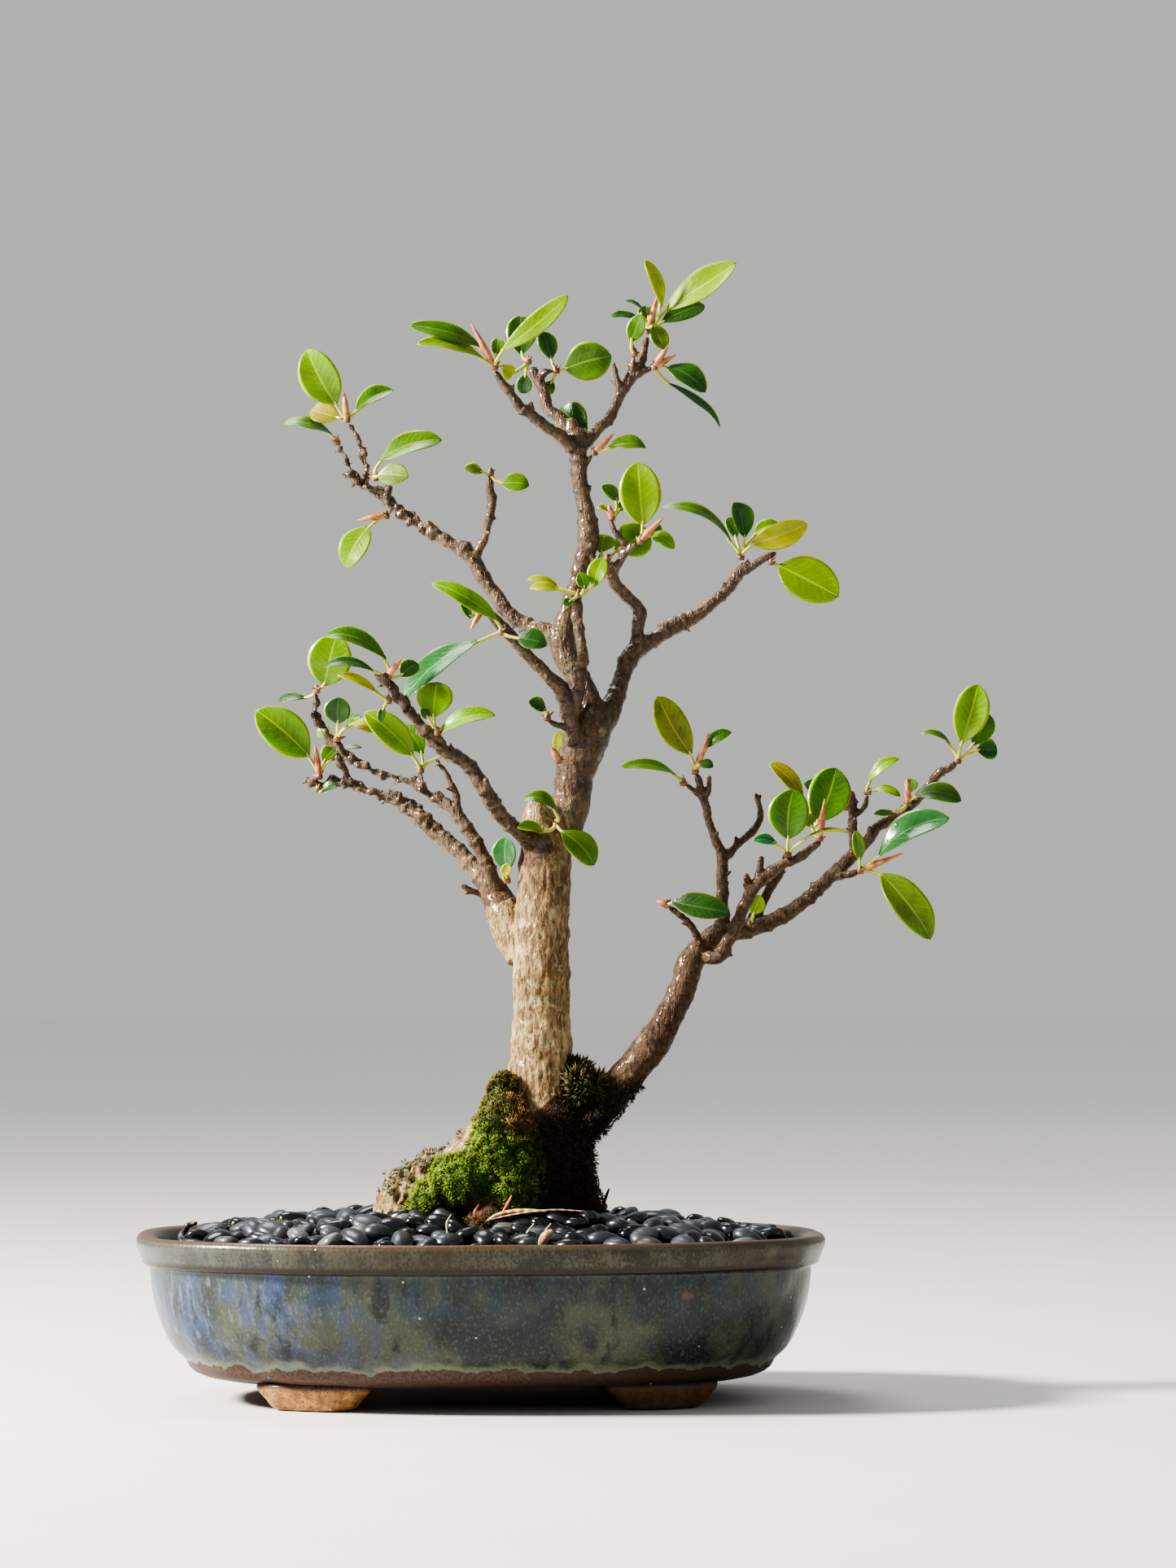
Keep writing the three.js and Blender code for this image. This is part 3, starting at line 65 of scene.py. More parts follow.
# Each limb is its centre line, as (x, y, z, radius).
LIMBS = {
    "trunk": [
        (18, 0, 46, 20), (18, 0, 60, 22), (18, 0, 76, 22.5), (20, 0, 92, 20.5),
        (21.5, 0, 104, 16), (21.5, 0, 115, 12.4), (22, -1, 130, 10.9), (22.2, -2, 148, 10.2),
        (22, -2, 165, 10), (23, -1, 182, 9.5), (24, 0, 198, 9.5), (29, 2, 208, 8.6),
        (33, 4, 217, 6.8), (34, 4, 226, 7.3), (37.5, 3, 236, 7.6), (41, 2, 245, 7),
        (39.5, 2, 253, 4.6), (34.5, 4, 263, 4.5), (30, 6, 273, 4.8), (30.5, 7, 281, 4),
        (33.5, 6, 291, 3.3), (36.5, 4, 301, 3.2), (39.2, 2, 313, 3.9), (38.2, 1, 323, 3.1),
        (36, 0, 334, 2.9), (35.5, 0, 345, 3.2), (35.5, 0, 350, 3),
    ],
    "old_trunk_cut": [
        (23, -2, 198, 8.6), (21.5, -4, 206, 7.2), (20.5, -5, 212, 5.2), (20.5, -5, 215, 3.6),
    ],
    "left_root": [
        (16, 0, 98, 13), (4, 0, 87, 14), (-9, -1, 78, 12), (-19, -2, 76, 11.5),
        (-27, -3, 70.5, 10), (-33, -4, 59, 7.5), (-37, -5, 49, 4.5),
    ],
    "front_root": [
        (15, -6, 84, 15), (8, -18, 70, 12), (2, -30, 58, 7), (-2, -38, 50, 4),
    ],
    "right_root": [
        (26, 0, 86, 14), (34, -4, 70, 10), (44, -10, 56, 6), (52, -14, 49, 3.5),
    ],
    "back_root": [
        (20, 6, 84, 15), (17, 22, 68, 10), (12, 36, 56, 6), (8, 46, 49, 3.5),
    ],
    "right_trunk": [
        (28, 0, 98, 12), (38, 0, 103, 9.5), (48, -1, 111, 6.9), (56, -3, 120, 6),
        (63, -5, 129, 6.2), (69, -5, 139, 4.9), (73.5, -4, 149, 5), (76.5, -3, 158, 4.7),
        (81, -2, 164, 4.2), (86, 0, 168, 3.8),
    ],
    "right_limb": [
        (83, 0, 166, 4), (93, 4, 169, 3.4), (102, 7, 171, 3.1), (111, 9, 175, 2.8),
        (119, 10, 181, 2.5), (127, 11, 188, 2.5), (134, 12, 195, 2.4), (140, 13, 201, 2.2),
        (148, 14, 209, 1.9), (156, 15, 214, 2), (162, 15, 220, 1.8), (167, 15, 226, 1.8),
        (173, 15, 230, 1.5),
    ],
    "right_limb_spur": [
        (137, 12, 198, 1.9), (136, 10, 206, 1.7), (136, 9, 213, 1.6), (135, 8, 219, 1.7),
    ],
    "right_limb_spur_side": [
        (136, 9, 211, 1.1), (140, 7, 214, 1), (141, 6, 218, 0.9),
    ],
    "right_limb_side": [
        (129, 11, 189, 1.7), (133, 8, 189.5, 1.4), (136.5, 6, 190.5, 1.2),
    ],
    "right_limb_nub": [
        (139, 12, 200, 1.2), (141.5, 10, 204, 1), (142, 9, 207, 0.8),
    ],
    "right_limb_back": [
        (97, 6, 170, 2), (103, 11, 180, 1.8), (109, 14, 190, 1.6), (112, 15, 197, 1.1),
    ],
    "right_front": [
        (79, -2, 160, 3), (86, -8, 160, 2.5), (91, -12, 167, 2.3), (95, -14, 177, 2.2),
        (99, -15, 185, 2.3), (106, -16, 191, 2), (112.5, -16, 194, 1.7), (118, -16, 197.5, 1.6),
        (122, -16, 200.5, 1.3),
    ],
    "right_front_nub": [
        (100, -15, 187, 1.4), (101, -16, 191, 1.3), (101.5, -16, 195, 1),
    ],
    "right_front_bud": [
        (98, -15, 185, 1.2), (96.5, -16, 187, 1.1), (96, -17, 189, 0.8),
    ],
    "right_upright": [
        (82, 1, 166, 2.6), (88, 5, 172, 2.4), (88, 6, 182, 2.2), (88, 6, 191, 2.1),
        (88, 6, 197, 2), (85.5, 5, 203, 1.6), (83, 4, 210, 1.5), (81, 3, 218, 1.5),
        (79, 3, 225, 1.2),
    ],
    "right_upright_fork": [
        (88, 6, 195, 1.7), (94, 8, 201, 1.4), (101, 9, 208, 1.3), (102, 9, 213, 1.1),
        (100.5, 8, 219, 0.6),
    ],
    "right_upright_left": [
        (81, 3, 217, 1.1), (78, 3, 220, 1), (75.5, 3, 222, 0.9),
    ],
    "right_upright_right": [
        (81, 3, 217, 1.1), (83, 3, 220, 1), (83.3, 3, 225, 0.8),
    ],
    "right_low_twig": [
        (79, -3, 159, 2), (79.5, -7, 165, 1.5), (76, -10, 171, 1.3), (72, -11, 175, 1.2),
        (69, -11, 177, 0.9),
    ],
    "left_limb": [
        (16, 1, 160, 7), (11.5, 4, 168, 7), (8, 7, 177, 6.6), (3, 11, 186, 4.8),
        (-4, 15, 194, 3.2), (-11, 19, 201, 2.8), (-18.5, 22, 207, 3.1), (-26, 25, 214.5, 2.9),
        (-33, 26, 218.5, 2.4), (-42, 27, 221, 2), (-50, 28, 224, 1.9), (-57, 28, 224, 1.7),
        (-62, 27, 224, 1.6), (-65, 26, 226, 1.3),
    ],
    "left_limb_stub": [
        (2, 10, 182, 1.4), (-3, 8, 183.5, 1.1), (-6.5, 7, 185.5, 0.9),
    ],
    "left_limb_riser": [
        (-48, 27, 223.5, 1.9), (-51, 25, 229, 1.7), (-53, 22, 235, 1.6),
    ],
    "left_second": [
        (6, 7, 182, 3.2), (2, 4, 194, 2.5), (-3, 4, 203, 2.5), (-9, 5, 212, 2.3),
        (-18, 7, 219, 1.9), (-27, 9, 224, 1.7), (-38, 10, 227, 1.6), (-47, 10, 232, 1.7),
        (-53, 10, 237, 1.8), (-58, 9, 243, 1.8), (-61, 8, 250, 1.6), (-60.5, 8, 255, 1.2),
    ],
    "left_second_spur": [
        (-20.5, 7, 219, 1.6), (-21.5, 7, 223, 1.4), (-22, 7, 226, 1.2),
    ],
    "left_second_twig": [
        (-7.5, 5, 209, 1.3), (-9, 3, 218, 1.2), (-12, 2, 226, 1), (-16, 2, 231, 0.8),
    ],
    "left_front": [
        (22, -2, 200, 4.6), (15, -12, 204, 3), (7, -19, 211.5, 2.7), (1, -25, 221, 2.8),
        (-5, -28, 229, 2.7), (-13, -31, 234, 2.5), (-20, -33, 241, 2.4), (-27, -34, 250, 2.3),
        (-33, -35, 257, 1.8), (-36.5, -35, 260.5, 1.2),
    ],
    "left_front_nub": [
        (0, -26, 218, 1.8), (2.5, -28, 220, 1.4), (2.5, -29, 223, 1),
    ],
    "middle_left": [
        (34, -1, 238, 4.4), (32, -5, 248, 3.2), (29.5, -8, 256, 3), (23, -10, 263, 2.4),
        (16, -12, 270, 2.2), (10, -14, 277, 2.2), (3, -15, 284, 1.7),
    ],
    "middle_left_twig": [
        (32, -5, 243, 1.4), (28, -7, 243.5, 1.1), (25.2, -8, 245, 0.9),
    ],
    "middle_front": [
        (33, -4, 246, 3), (35.5, -7, 256, 2.2), (37, -8, 266, 2.1), (36.5, -8, 275, 1.9),
        (35.2, -8, 283, 2), (35, -8, 288, 2.1),
    ],
    "middle_right": [
        (40, 2, 241, 6), (46, 5, 248, 4.6), (50, 9, 257, 3.2), (52, 12, 264, 3.1),
        (54.5, 14, 270, 3.7), (59, 17, 274, 3.4), (64, 19, 277, 2.8), (70, 22, 281.5, 3.2),
        (77, 24, 285, 2.8), (85, 26, 291, 2.2), (92, 27, 298, 2.3), (97, 27, 304, 2.1),
    ],
    "middle_right_tip": [
        (95, 27, 302, 1.9), (101, 26.5, 305, 1.5), (105, 26, 307.5, 1.4), (108, 25, 309, 0.9),
    ],
    "middle_right_riser": [
        (58, 16, 273, 2.8), (57, 14, 280, 2.3), (58, 11, 287, 2.5), (53.5, 7, 291, 2.2),
        (49.5, 3, 295, 2.3), (46.5, 0, 301, 2.4),
    ],
    "middle_right_twig": [
        (47.5, 1, 299, 1.9), (50.5, -1, 303.5, 1.5), (53, -3, 307, 1.3), (56, -4, 309.5, 1.1),
    ],
    "middle_right_spur": [
        (51, -1, 304, 1.3), (52, -2, 310, 1.3), (49, -3, 314, 1), (47.5, -3, 318, 0.8),
    ],
    "middle_right_back_spur": [
        (46.5, 0, 300, 1.8), (42, 1, 303, 1.4), (39.8, 0.5, 308, 1.1), (38.5, 0, 312, 1),
    ],
    "upper_left": [
        (31, 7, 272, 5), (24, 9, 278.5, 3.5), (17, 12, 281.5, 2.9), (10, 14, 286, 2.7),
        (4, 16, 294, 2.6), (-1, 17, 302, 2.9), (-6, 18, 309, 2.9), (-14, 19, 313.5, 2.4),
        (-24, 20, 320, 2.2), (-34, 21, 327.5, 2.2), (-43, 21, 333.5, 2.1), (-50, 21, 338, 1.5),
    ],
    "upper_left_fork": [
        (-3.5, 18, 305.5, 2), (0.5, 16, 313, 1.5), (3, 14, 322, 1.5), (3.8, 13, 329, 1.7),
        (2.8, 12, 335.5, 1.2),
    ],
    "upper_left_spur": [
        (-42.5, 21, 333, 1.7), (-43.5, 20, 342, 1.4), (-46, 19, 350, 1.3), (-48.5, 18, 355, 1.1),
    ],
    "upper_left_end": [
        (-46.5, 21, 336, 1.5), (-49.5, 23, 342, 1.2), (-52.5, 25, 348, 0.9),
    ],
    "upper_left_nub": [
        (-33, 21, 327, 1.5), (-34, 20, 330, 1.2), (-34.5, 19, 332, 0.7),
    ],
    "apex_left": [
        (35, 0, 344, 2.8), (28.5, -4, 349.5, 2.2), (21, -8, 354.5, 2), (14, -10, 360, 1.9),
        (9, -11, 366.5, 1.6), (6, -12, 371, 1.2),
    ],
    "apex_left_nub": [
        (18, -9, 356.5, 1.4), (18.3, -10, 360.5, 1),
    ],
    "apex_middle": [
        (35, 0, 346, 3), (30, 3, 355, 2.4), (24, 6, 361.5, 2.1), (22, 7, 368, 2),
        (19, 8, 374.5, 2),
    ],
    "apex_middle_twig": [
        (21, 7, 371, 1.5), (23, 7, 374, 1.5), (25.5, 7.5, 374.6, 0.9),
    ],
    "apex_middle_cut": [
        (34.5, 1, 347, 3), (33.6, 1, 351, 2.8), (33.2, 1, 354.5, 2.2),
    ],
    "apex_right": [
        (36, 0, 345, 2.6), (42, 1, 351.5, 2.1), (47.5, 3, 357.5, 2), (51, 4, 365.5, 1.8),
        (55.5, 5, 373, 2.3), (58.5, 6, 378.5, 1.7), (60.5, 7, 386, 1.3),
    ],
    "apex_right_twig": [
        (50.5, 4, 366, 1.4), (50, 3, 371, 1.1), (48.2, 2, 377, 0.6),
    ],
    "apex_right_nub": [
        (55, 5, 372.5, 1.4), (55.5, 3.5, 377, 1), (55.8, 3, 379, 0.7),
    ],
    "apex_right_side": [
        (55, 5, 372.5, 1.9), (58.5, 4.5, 374, 1.6), (61.5, 4.5, 375, 1.1),
    ],
    "apex_low_twig": [
        (36, 0, 337.5, 1.4), (38.4, -1, 340, 1.1), (40, -2, 342, 0.8),
    ],
}

# Each shoot is the point that it grows from, its leaves and the tips of its buds.
SHOOTS = {
    "upper_left_tip": ((-50, 17.5, 358), [
        leaf("bright", (-54, 17, 363.5), (-64.5, 12, 383), 15, -20, 20),
        leaf("green", (-47, 20, 361), (-33, 24, 369.5), 9, 10, 50, 0.1),
        leaf("olive", (-53, 22, 359), (-64, 27, 363), 9, 0, 20),
    ], [(-51, 16, 368)]),
    "upper_left_end": ((-54, 26, 350.5), [
        leaf("green", (-56, 26, 353.5), (-73.5, 22, 357.5), 9, 0, 55, 0.12),
    ], []),
    "upper_left_inner": ((-39.5, 18, 336.5), [
        leaf("pale", (-38.5, 15, 337), (-27, 10, 336), 9, 0, 20, 0.05),
        leaf("green", (-38, 19, 343), (-15, 17, 350.5), 12, -10, 40, 0.08),
    ], []),
    "upper_left_hanging": ((-35.5, 19, 322.5), [
        leaf("bright", (-42, 16, 318), (-50, 13, 303), 11.5, -15, 15),
    ], [(-46, 17, 320.5)]),
    "upper_left_fork": ((3.2, 11, 337.5), [
        leaf("pale", (0.5, 10, 337.5), (-6.5, 7, 338.5), 5, 0, 30),
        leaf("green", (7, 10, 333.5), (17.3, 8, 333), 8, 0, 25),
    ], []),
    "apex_left_tip": ((5, -12.4, 373.5), [
        leaf("green", (0.5, -11, 381), (-26, -15, 388), 9, 0, 40, 0.1),
        leaf("bright", (1, -14, 376.5), (-23, -21, 380.5), 9, 0, 50, 0.08),
        leaf("bright", (7.5, -15, 379), (32, -19, 398.5), 8, 20, 25, 0.05),
        leaf("young", (8, -10, 374.5), (11, -6, 370.5), 6, 10, 10),
        leaf("green", (5.5, -9, 378), (6, -6, 385), 5, 0, 10),
    ], [(-3.5, -14, 389.5)]),
    "apex_middle_tip": ((17, 8.5, 378.5), [
        leaf("dark", (14.5, 9.5, 381), (14, 13, 396), 11.5, 0, 10),
        leaf("pale", (13.5, 8, 375), (10, 6, 373), 3, 0, 40),
        leaf("dark", (16, 11, 374), (15, 14, 367), 6, 0, 10),
    ], []),
    "apex_middle_side": ((27.4, 8, 375), [
        leaf("dark", (25.5, 9.5, 379), (22.5, 11, 389.5), 8, 20, 20),
        leaf("green", (30.5, 8, 375.5), (47.5, 6, 380), 14.5, 5, -10, 0.05),
        leaf("dark", (26, 10.5, 371.5), (23.5, 12.5, 366.5), 5, 0, 10),
    ], []),
    "apex_crotch": ((39, 6, 350), [
        leaf("dark", (38.5, 8, 353), (28.5, 14, 362), 12, 0, 10),
    ], []),
    "apex_low_twig": ((41.3, -3, 343.6), [
        leaf("green", (46.5, -4, 345), (60, -6, 345.5), 8, 0, 45, 0.14),
    ], [(48.5, -3, 350.5)]),
    "apex_top": ((61.2, 7.4, 389.5), [
        leaf("young", (66, 5, 398), (60, 3, 415), 6, 30, 10, 0.1),
        leaf("bright", (67.5, 7.5, 397), (93.5, 3, 413.5), 13, -5, 35),
        leaf("dark", (66, 11, 393), (82, 14, 400), 9, 0, 30, 0.05),
        leaf("dark", (57.5, 8.5, 394.5), (47, 7, 395), 4, 0, 40),
        leaf("dark", (59.5, 6.5, 395), (52, 4, 400), 4, 0, 60, 0.2),
        leaf("pale", (63, 4, 391.5), (67, 2, 382), 7, 15, 5),
        leaf("dark", (61.3, 10, 394), (60.5, 12, 399.5), 7, 0, 10),
    ], [(64.5, 6, 402.5)]),
    "apex_right_side": ((63.3, 4.4, 375.8), [
        leaf("dark", (68, 5, 376), (82, 1, 366), 10, 0, 35, 0.12),
        leaf("dark", (68, 8, 370.5), (88.5, 9, 355.5), 6, 0, 60, 0.05),
    ], [(68.5, 2, 383.5), (71.5, 5.5, 380.5)]),
    "apex_right_nub": ((56, 2.6, 380.6), [
        leaf("green", (54.5, 1.5, 384.5), (58.5, 0, 394.5), 7, -10, 10, -0.14),
    ], []),
    "middle_right_twig": ((58, -4.6, 311), [
        leaf("bright", (59, -5, 317), (57, -8, 339.5), 15.5, 0, 5, 0.04),
        leaf("bright", (62, -1, 314), (70.5, -4, 308.5), 6, 10, 20, 0.14),
        leaf("green", (62, -0.5, 317), (66, 0.5, 314.5), 4, 0, 30),
    ], [(66.5, -6, 319.5)]),
    "middle_right_spur": ((47.6, -3.2, 319.8), [
        leaf("green", (50, -3, 326), (44, -6, 331), 5.5, 0, 25),
        leaf("dark", (50, -1, 322), (53, 1, 326.5), 4, 0, 25),
        leaf("young", (46.5, -4, 322), (42.5, -6, 323.5), 3, 0, 40),
    ], [(46.5, -4.5, 324.5)]),
    "middle_right_riser": ((46, -3.4, 304.6), [
        leaf("bright", (49, 5, 308), (61, 9, 316.5), 14, 0, 10, 0.04),
        leaf("bright", (43.5, 4.5, 307.5), (45, 7.5, 314.5), 9, 0, 10),
    ], []),
    "middle_front": ((35.5, -8.2, 291.2), [
        leaf("bright", (41, -9, 294), (44.5, -8, 304.5), 7.5, -10, 10),
        leaf("green", (38, -10, 293), (36, -10, 299), 5, 0, 15),
        leaf("young", (28.5, -7, 294), (17, -9, 296.8), 4.5, 0, 45, 0.08),
        leaf("young", (28, -10, 293), (18, -12, 293.3), 4.5, 0, 35, 0.08),
        leaf("dark", (33.2, -11, 289), (30.3, -12.5, 286.8), 3.5, 0, 20),
    ], []),
    "middle_right_tip_inner": ((95.6, 26.5, 308), [
        leaf("green", (92, 25, 313.5), (66, 20, 326), 7, 0, 52, 0.2),
        leaf("dark", (97, 26, 315), (93.5, 24, 328), 10.5, 30, 20),
        leaf("bright", (100.5, 29.5, 316.5), (110.5, 31, 320.5), 7, 0, 45),
        leaf("young", (99.5, 24, 312.5), (120, 20, 319.5), 10, 0, -10, 0.06),
        leaf("dark", (94, 29, 315), (91, 31, 323), 5, 0, 15),
    ], []),
    "middle_right_tip_outer": ((107, 25.3, 306), [
        leaf("bright", (109.5, 25, 304.5), (131.5, 20, 292.5), 17, 0, 10, 0.04),
    ], []),
    "middle_left": ((7.6, -17, 276.8), [
        leaf("blue", (-0.5, -19, 273.5), (-27, -27, 252), 13, -10, 55, 0.1),
        leaf("bright", (6.5, -18, 281), (-17, -23, 294.5), 8, 0, 35, 0.14),
        leaf("dark", (13.5, -19, 274.5), (24, -22, 272), 8.5, 0, 20, 0.08),
    ], []),
    "middle_left_tip": ((1, -15.4, 286), [
        leaf("blue", (-3.5, -16, 282), (-7, -18, 289), 3.6, 10, 20),
    ], [(-3.5, -17, 277.5)]),
    "middle_left_twig": ((24.2, -8.4, 246.3), [
        leaf("dark", (23.8, -9, 249), (17.5, -12, 252), 6, 0, 30),
    ], []),
    "trunk_bud": ((28.4, -6.5, 231), [
        leaf("young", (28, -8, 234), (28.6, -9.5, 241.5), 3.8, -10, 15),
    ], [(25.5, -8.5, 236)]),
    "left_second_tip": ((-60.3, 8, 257.4), [
        leaf("bright", (-57.5, 7.5, 259), (-53, 4, 277.5), 16.5, 0, 5, 0.05),
        leaf("dark", (-64, 10, 254.5), (-75, 13, 254), 5, 0, 45, 0.1),
    ], []),
    "left_second_bend": ((-52.8, 7.6, 239.6), [
        leaf("dark", (-52.5, 6.5, 245), (-52, 4, 254.5), 10, 0, -5),
        leaf("green", (-50, 5.5, 243.5), (-43.5, 2, 247), 5, 0, 50, 0.15),
        leaf("young", (-47.5, 9.5, 245.5), (-37, 8, 242), 6, 0, 35, 0.12),
        leaf("bright", (-55, 12, 241.5), (-60.5, 15, 243), 5.5, 0, 15),
    ], []),
    "left_limb_tip": ((-60.4, 26.5, 226.6), [
        leaf("bright", (-64, 24, 234), (-83, 18, 250.5), 15.5, -5, 10, 0.05),
        leaf("dark", (-57, 25, 232.5), (-44.5, 22, 237), 5, 0, 60, 0.15),
        leaf("green", (-59, 29, 232), (-54, 31, 237.5), 7, 0, 15),
    ], [(-61.8, 24.5, 238.5)]),
    "left_limb_under": ((-60.6, 25, 221.8), [
        leaf("dark", (-60, 24, 220.5), (-53.5, 21, 222.8), 5.5, 0, 40, 0.08),
    ], []),
    "left_second_spur": ((-22.2, 7, 228), [
        leaf("bright", (-25, 5, 233.5), (-42, 0, 249), 11, 0, 15, 0.05),
        leaf("green", (-21.5, 9, 234), (-29, 13, 245), 8, 0, 10),
        leaf("young", (-15, 8, 233.5), (-9, 9, 232.5), 6, 0, 25),
    ], []),
    "left_front_inner": ((-14.8, -35, 239.8), [
        leaf("bright", (-16.4, -33.5, 245), (-15, -30, 258.3), 13, 0, 10, 0.04),
        leaf("bright", (-14.5, -34, 239), (6, -38, 245.5), 8, 0, 40, 0.16),
        leaf("dark", (-18, -36.5, 244.5), (-20.5, -37.5, 248), 4, 0, 30),
    ], []),
    "left_front_tip": ((-32.5, -35.2, 260), [
        leaf("green", (-33.2, -35, 266), (-55, -39, 275), 8, 0, 40, 0.14),
        leaf("dark", (-37.5, -37.5, 261.5), (-55, -41, 263.5), 6, 0, 50, 0.12),
        leaf("dark", (-28, -32.5, 260), (-22, -30, 264.8), 7, 0, 15),
    ], [(-27.5, -36, 266)]),
    "left_front_low": ((-32.3, -36.6, 251), [
        leaf("dark", (-34, -38, 248.5), (-35, -40, 243), 3, 0, 15),
        leaf("young", (-36, -38.5, 253.5), (-50, -41, 260), 4, 0, 35, 0.08),
    ], []),
    "trunk_cut": ((27.5, -9.4, 207.8), [
        leaf("green", (28, -11.5, 212), (15.5, -16, 217), 8, 0, 50, 0.2),
        leaf("bright", (23, -14.5, 204.5), (13.5, -19.5, 206), 6, 0, 40, 0.12),
        leaf("green", (29.5, -12, 205), (41.5, -15, 193), 11, 10, 25, 0.08),
    ], []),
    "left_crotch": ((9.6, -1.6, 187.6), [
        leaf("blue", (9.4, -2.6, 190.5), (9.2, -4.5, 203.3), 9.5, -20, 5, 0.08),
        leaf("young", (8, -4.6, 189), (10.4, -6.5, 193.5), 4, 10, 20),
    ], []),
    "right_upright_tip": ((78.2, 2.8, 227.4), [
        leaf("olive", (76.5, 1.5, 233.5), (64.5, -2, 254.5), 12, 10, 5, 0.05),
        leaf("green", (82, 4, 236), (91, 2, 242), 5.5, 0, 35, 0.18),
        leaf("dark", (79.5, 0.5, 230.5), (84.5, -2, 229), 4.5, 0, 30, 0.12),
    ], [(83.2, 1.5, 241.5)]),
    "right_upright_left": ((73.8, 3, 223.2), [
        leaf("bright", (71, 2, 226), (51, -3, 228.5), 6.5, 0, 50, 0.16),
    ], []),
    "right_low_twig": ((67.6, -11.3, 178.4), [
        leaf("dark", (69.5, -13.2, 179.4), (90, -18, 175.5), 10.5, 0, 25, 0.08),
    ], [(63.5, -11, 180)]),
    "right_limb_small": ((98.2, 0.4, 171.5), [
        leaf("bright", (99, -1, 175), (101.4, -3, 182), 6.5, 0, 10),
    ], []),
    "right_front": ((111, -18.3, 196.6), [
        leaf("green", (111, -19, 202), (113, -21, 220), 15, 0, 5, 0.05),
        leaf("blue", (107, -18.5, 200.5), (98.5, -21, 201.5), 5, 0, 35),
        leaf("olive", (116, -19, 201.5), (134, -23, 204), 4.5, 0, 65, 0.1),
    ], []),
    "right_front_tip": ((122.6, -16.4, 202.4), [
        leaf("green", (121.5, -14, 208), (129, -7, 228), 15.5, 0, 5, 0.04),
        leaf("green", (119.7, -14.5, 206.5), (117.6, -16, 211.5), 4.5, 0, 15),
        leaf("olive", (117, -9.5, 217), (105, -10, 230), 6.5, 10, 20, 0.1),
    ], [(124.3, -18.5, 216.5)]),
    "right_limb_spur": ((133, 5.8, 214.3), [
        leaf("dark", (130.8, 4, 215.5), (118, -1, 223), 9.5, 0, 25, 0.08),
        leaf("green", (133, 4, 217), (131.8, 2.5, 222), 4, 0, 10),
    ], []),
    "right_limb_spur_side": ((141.2, 5.8, 220), [
        leaf("bright", (141.4, 5, 223.5), (152, 2, 232.3), 5, 0, 35, 0.15),
        leaf("bright", (143.5, 5.5, 221), (153, 3, 218.3), 4.5, 0, 45, 0.15),
    ], []),
    "right_limb_side": ((138.4, 5.4, 191.2), [
        leaf("green", (138, 3.5, 195), (136.5, 1, 205.5), 4.8, 0, 15),
        leaf("blue", (145, 3, 196.5), (170.5, -3, 210), 14, 0, 45, 0.14),
        leaf("pale", (146, 4.5, 190), (164, -1, 166.5), 14, 10, 20, 0.08),
    ], [(154, 4.5, 197.5)]),
    "right_limb_upper": ((156.3, 12.4, 216.2), [
        leaf("dark", (159, 10.5, 219), (175.5, 7, 217), 9, 0, 35, 0.14),
        leaf("green", (151.5, 10, 212.5), (143.5, 7, 212), 3.5, 0, 40),
        leaf("pale", (157, 15.5, 220), (158, 18, 225.5), 5, 0, 15),
    ], [(156, 11, 225)]),
    "right_limb_tip": ((174.8, 15.2, 231.8), [
        leaf("bright", (176, 13.5, 238), (182, 10, 259.5), 13, 0, 5, 0.05),
        leaf("dark", (180.5, 17, 237.5), (187, 20.5, 249), 9, 0, 10, 0.06),
        leaf("dark", (182, 18.5, 236), (190, 21, 236), 8, 0, 10),
        leaf("green", (172, 14.5, 238), (161, 12, 242), 4.5, 0, 55, 0.14),
    ], []),
}

MOSS = {
    "front": [
        (8.5, -11, 111.5, 6.5), (9.5, -14, 104, 9), (9, -17, 96, 12), (9, -18, 86, 15), (-6, -20, 79, 12.5),
        (-17, -17, 72, 9), (12, -22, 76, 12), (-21, -15, 68, 6),
    ],
    "right": [(36, -6, 113.5, 6.5), (40.5, -5, 112, 5), (34.5, -5, 118, 4.5)],
}

# ---------------------------------------------------------------- helpers


def placed(points):
    """Points of the drawing, in the frame, in metres."""
    drawn = np.atleast_2d(np.asarray(points, dtype=float))
    cos, sin = math.cos(TREE_TURN), math.sin(TREE_TURN)
    soil = POT_HIGH.z - SOIL_BELOW_RIM * MM
    out = np.empty((len(drawn), 3))
    out[:, 0] = POT_MIDDLE.x + (drawn[:, 0] * cos - drawn[:, 1] * sin) * MM
    out[:, 1] = POT_MIDDLE.y + (drawn[:, 0] * sin + drawn[:, 1] * cos) * MM
    out[:, 2] = soil + (drawn[:, 2] - DRAWN_SOIL) * MM
    return out


def undrawn(points):
    """Places in the frame, as points of the drawing."""
    moved = (points - np.array([POT_MIDDLE.x, POT_MIDDLE.y, POT_HIGH.z - SOIL_BELOW_RIM * MM])) / MM
    cos, sin = math.cos(TREE_TURN), math.sin(TREE_TURN)
    out = np.empty_like(moved)
    out[:, 0] = moved[:, 0] * cos + moved[:, 1] * sin
    out[:, 1] = -moved[:, 0] * sin + moved[:, 1] * cos
    out[:, 2] = moved[:, 2] + DRAWN_SOIL
    return out


def unit(vectors):
    return vectors / np.maximum(np.linalg.norm(vectors, axis=-1, keepdims=True), 1e-12)


def value_noise(points, scale, seed=0.0):
    """Smooth noise between -1 and 1 at points in metres; scale is the size of its lumps in millimetres."""
    shift = Vector((seed * 7.13, seed * 3.71, seed * 5.37))
    factor = 1 / (scale * MM)
    return np.array([noise.noise(Vector(point) * factor + shift) for point in points])


